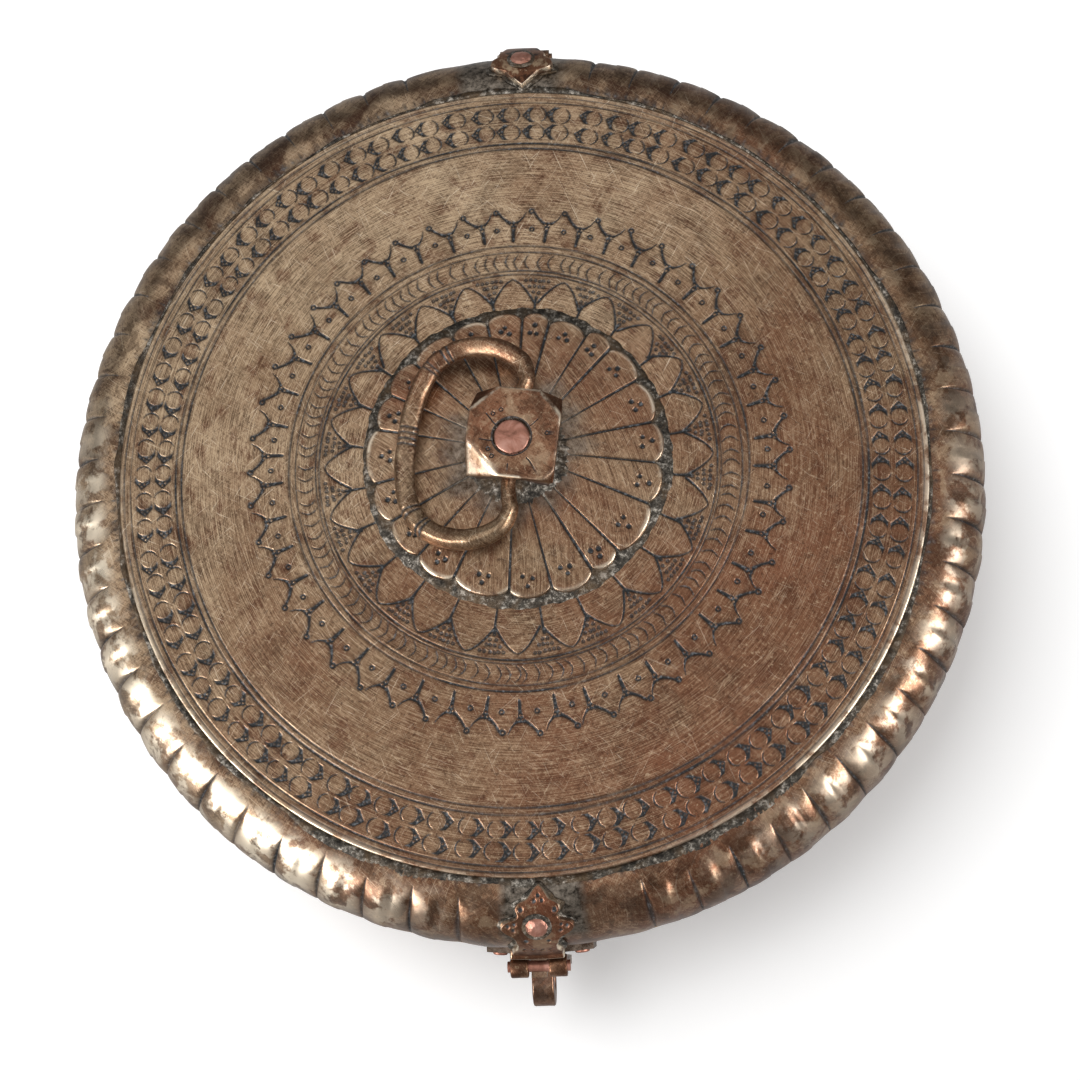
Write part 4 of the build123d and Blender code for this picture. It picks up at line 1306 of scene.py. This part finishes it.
def rivet_head(name, site, place, lift, radius, height, aside, seed, replaces):
    """A hammered copper rivet head on a leaf, a distance along it, with its dark ring."""
    (out, up), lean = on_leaf(site, place, lift)
    c, s = math.cos(math.radians(lean)), math.sin(math.radians(lean))

    def seated(verts):
        x, y, z = verts.T
        moved = np.stack([x + aside, y * c - z * s - out, y * s + z * c + up], -1)
        return turned(moved, site[2] + (180.0 if site[3] > 0 else 0.0))

    verts, faces = hammered_head(radius, height, seed)
    build(name, seated(verts), faces, MAT_COPPER, "lid", "copper", replaces, smooth=False)
    a = full_turn(48)
    wave = ripple(np.degrees(a), (3, 7), seed, 0.10)
    rows = [(-0.2, 0.18), (0.35, 0.28), (0.8, 0.14), (1.0, -0.25)]
    ring = np.concatenate([circle(radius + more + wave, a, level) for more, level in rows])
    build(name + "_ring", seated(ring), grid_faces(len(rows), len(a)), MAT_SOLDER, "lid", "solder")


def refined(node, body, bevel, tin=0.0, flatten=None, narrow=None):
    """A CAD node's own shape with softened edges; tin is grey solder over all of it,
    flatten cuts the shape off above a height in millimetres, and narrow is a height and
    a share of the width left above it."""
    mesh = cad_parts[node].data.copy()
    mesh.materials.clear()
    mesh.materials.append(MAT_FITTING)
    obj = bpy.data.objects.new(node + "_look", mesh)
    bpy.context.scene.collection.objects.link(obj)
    bm = bmesh.new()
    bm.from_mesh(mesh)
    bmesh.ops.remove_doubles(bm, verts=bm.verts, dist=0.000002)
    bmesh.ops.dissolve_limit(bm, angle_limit=math.radians(1.5), verts=bm.verts, edges=bm.edges)
    if flatten is not None:
        for vert in bm.verts:
            vert.co.z = min(vert.co.z, flatten * MM)
    if narrow is not None:
        middle = sum(vert.co.x for vert in bm.verts) / len(bm.verts)
        for vert in bm.verts:
            if vert.co.z > narrow[0] * MM:
                vert.co.x = middle + (vert.co.x - middle) * narrow[1]
    bm.to_mesh(mesh)
    bm.free()
    layer = mesh.attributes.new("tin", "FLOAT", "POINT")
    layer.data.foreach_set("value", np.full(len(mesh.vertices), tin, dtype=np.float32))
    modifier = obj.modifiers.new("soft edges", "BEVEL")
    modifier.width = bevel * MM
    modifier.segments = 2
    modifier.limit_method = "ANGLE"
    modifier.angle_limit = math.radians(35.0)
    mesh.polygons.foreach_set("use_smooth", [True] * len(mesh.polygons))
    mesh.set_sharp_from_angle(angle=math.radians(35.0))
    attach(obj, body)
    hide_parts(node)


# Outlines of the leaves: distance from the disc's edge and half width; and punched dots.
HASP_OUTLINE = [(0.9, 0.05), (1.8, 1.2), (3.2, 2.2), (4.4, 3.0), (4.8, 4.5), (5.5, 5.5), (6.7, 5.7),
                (7.8, 5.1), (8.8, 5.4), (9.3, 7.8), (10.2, 9.1), (11.4, 9.3), (12.4, 8.2), (13.3, 6.4),
                (14.4, 5.6), (15.6, 5.4), (16.4, 5.0), (18.6, 5.2), (20.4, 6.4)]
HASP_DOTS = [(0.0, 3.4, 0.5), (-0.9, 4.6, 0.5), (1.0, 4.5, 0.46), (-4.2, 6.5, 0.6), (4.2, 6.6, 0.6),
             (-7.4, 10.4, 0.48), (-5.8, 9.9, 0.46), (-6.0, 11.4, 0.48), (7.3, 10.5, 0.5), (5.9, 10.1, 0.46),
             (5.8, 11.6, 0.48), (-2.8, 14.8, 0.6), (2.8, 14.7, 0.55), (-3.3, 18.4, 0.5), (-1.2, 18.5, 0.48),
             (1.3, 18.4, 0.48), (3.2, 18.5, 0.46)]
HINGE_OUTLINE = [(0.3, 0.05), (1.6, 1.6), (3.0, 3.3), (4.2, 4.5), (4.8, 4.9), (5.1, 6.9), (5.9, 8.3),
                 (7.2, 8.9), (8.5, 8.5), (9.2, 7.3), (9.6, 6.3), (10.2, 6.9), (11.2, 6.7), (12.2, 5.9),
                 (14.0, 5.2), (17.0, 4.2), (20.0, 2.8)]
HASP_BARREL_Y = -129.6
HINGE_BARREL = (129.2, 48.0, 3.0)


def hasp():
    """The leaf on the lid's front, its barrels and rivet, the hanging strap and the staple."""
    site = leaf_site([(126.0, 53.4), (127.0, 52.9)], HASP_TURN, -1, HASP_SKEW)
    outline = HASP_OUTLINE + [(site[1][-1] - 0.1, 7.0)]
    solder_skirt("hasp_solder", outline, site, 88)
    leaf("hasp_plate_look", outline, site, 1.9, 0.25, MAT_FITTING, "brass", ("hasp_plate",), HASP_DOTS)
    low, high = node_box("hasp_pin")
    z = (low[2] + high[2]) / 2.0
    barrel("hasp_barrel_left", -7.3, -2.7, HASP_BARREL_Y, z, 2.8, HASP_TURN, 81)
    barrel("hasp_barrel_right", 2.7, 7.3, HASP_BARREL_Y, z, 2.8, HASP_TURN, 82)
    rivet_head("hasp_plate_rivet_look", site, 10.4, 2.15, 2.85, 1.15, HASP_SKEW * 0.55, 83,
               ("hasp_plate_rivet",))
    refined("hasp_strap", "hasp", 0.3, 0.35, z + 0.4, (z - 3.4, 0.50))
    refined("staple", "base", 0.5, 0.3)
    refined("staple_plate", "base", 0.3, 0.75)


def hinge():
    """The back hinge's thick leaf, rivet and barrel, and its base leaf."""
    site = leaf_site([(126.1, 53.4), (127.2, 52.4)], HINGE_TURN, 1, HINGE_SKEW)
    outline = HINGE_OUTLINE + [(site[1][-1] - 0.1, 2.5)]
    solder_skirt("hinge_solder", outline, site, 89)
    leaf("hinge_lid_leaf_look", outline, site, 2.4, 0.3, MAT_HINGE, "brass", ("hinge_lid_leaf",), edge=0.6)
    barrel("hinge_barrel_lid", -2.6, 2.6, *HINGE_BARREL, HINGE_TURN, 84)
    rivet_head("hinge_lid_rivet_look", site, 8.4, 2.6, 3.1, 1.0, -0.7, 85, ("hinge_lid_rivet",))
    refined("hinge_base_leaf", "base", 0.3)


rosette()
seam_solder()
rosette_solder()
knob_solder()
knob()
knob_stud()
bail()
hasp()
hinge()

# ---------------------------------------------------------------- CAD pieces kept as they are


def dress(names, mat):
    """Give carried-over CAD nodes their material."""
    for name in names:
        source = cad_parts[name]
        if not source.material_slots:
            source.data.materials.append(mat)
        for slot in source.material_slots:
            slot.material = mat


dress(["base_floor", "base_flange", "base_collar", "centre_cup"], MAT_INSIDE)
dress(["divider_%d" % k for k in range(1, 7)], MAT_INSIDE)
dress(["hinge_pin", "knob_washer"], MAT_FITTING)
dress(["hasp_pin", "hinge_base_rivets", "staple_plate_rivets"], MAT_COPPER)

# ---------------------------------------------------------------- floor, light and camera


FLOOR_REACH = 6.0
AIM = (0.0, 0.0, 0.05)


def floor():
    """A wide white sweep, lit evenly and left out of reflections."""
    mesh = bpy.data.meshes.new("floor")
    corners = [(-1, -1), (1, -1), (1, 1), (-1, 1)]
    mesh.from_pydata([(FLOOR_REACH * x, FLOOR_REACH * y, 0) for x, y in corners], [], [(0, 1, 2, 3)])
    n = Nodes("white sweep")
    mesh.materials.append(n.surface(Base_Color=(0.85, 0.85, 0.85), Roughness=0.9,
                                    Emission_Color=(1.0, 1.0, 1.0), Emission_Strength=0.29))
    obj = bpy.data.objects.new("floor", mesh)
    bpy.context.scene.collection.objects.link(obj)
    obj.location.z = -0.0002
    obj.visible_glossy = False
    obj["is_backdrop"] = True
    return obj


def softbox(name, angle, height_deg, distance, size, power, shadow=False, piece=None, reach="EXCLUDE"):
    """A square area light; angle is clockwise from the hasp side. It leaves the piece out,
    or reaches only the piece."""
    level = math.radians(height_deg)
    x, y = clockwise(distance * math.cos(level), angle)
    place = Vector((float(x), float(y), distance * math.sin(level))) + Vector(AIM)
    data = bpy.data.lights.new(name, "AREA")
    data.shape = "RECTANGLE"
    data.size, data.size_y = size
    data.energy = power
    data.use_shadow = shadow
    obj = bpy.data.objects.new(name, data)
    bpy.context.scene.collection.objects.link(obj)
    if piece is not None:
        apart = bpy.data.collections.new(name + "_reach")
        apart.objects.link(piece)
        apart.collection_objects[0].light_linking.link_state = reach
        obj.light_linking.receiver_collection = apart
    obj.location = place
    obj.rotation_euler = (Vector(AIM) - place).to_track_quat("-Z", "Y").to_euler()


def light(sweep):
    world = bpy.data.worlds.new("studio")
    bpy.context.scene.world = world
    world.use_nodes = True
    tree = world.node_tree
    background = tree.nodes["Background"]
    coords = tree.nodes.new("ShaderNodeTexCoord")
    split = tree.nodes.new("ShaderNodeSeparateXYZ")
    ramp = tree.nodes.new("ShaderNodeValToRGB")
    ramp.color_ramp.elements[0].position = 0.0
    ramp.color_ramp.elements[0].color = (0.48, 0.47, 0.46, 1.0)
    ramp.color_ramp.elements[1].position = 0.25
    ramp.color_ramp.elements[1].color = (0.25, 0.25, 0.25, 1.0)
    tree.links.new(coords.outputs["Generated"], split.inputs[0])
    tree.links.new(split.outputs["Z"], ramp.inputs["Fac"])
    tree.links.new(ramp.outputs["Color"], background.inputs["Color"])
    background.inputs["Strength"].default_value = 1.0
    softbox("key_window", 51.0, 27.0, 0.9, (0.50, 0.42), 10.5, False, sweep)
    softbox("side_fill", 290.0, 32.0, 1.0, (0.60, 0.42), 7.6, False, sweep)
    softbox("sweep_light", 112.0, 67.0, 1.6, (0.85, 0.85), 15.5, True, sweep, "INCLUDE")
    softbox("overhead", 146.0, 72.0, 1.3, (1.8, 1.8), 8.2, True)


def camera():
    """Looking steeply down from the front right, rolled as a hand holds it."""
    heading = math.radians(17.5)
    height = math.radians(76.7)
    roll = math.radians(-19.06)
    distance = 3.409 * DISC_R
    look = Vector((5.94, -21.69, DISC_TOP))
    level = math.cos(height)
    back = Vector((math.sin(heading) * level, -math.cos(heading) * level, math.sin(height)))
    right = Vector((math.cos(heading), math.sin(heading), 0.0))
    up = back.cross(right)
    right, up = right * math.cos(roll) + up * math.sin(roll), up * math.cos(roll) - right * math.sin(roll)
    data = bpy.data.cameras.new("camera")
    data.lens = 46.67
    data.sensor_width = 36.0
    data.clip_start = 0.01
    obj = bpy.data.objects.new("camera", data)
    bpy.context.scene.collection.objects.link(obj)
    place = (look + back * distance) * MM
    obj.matrix_world = Matrix((
        (right.x, up.x, back.x, place.x),
        (right.y, up.y, back.y, place.y),
        (right.z, up.z, back.z, place.z),
        (0.0, 0.0, 0.0, 1.0),
    ))
    bpy.context.scene.camera = obj


light(floor())
camera()
bpy.context.scene.view_settings.view_transform = "Standard"

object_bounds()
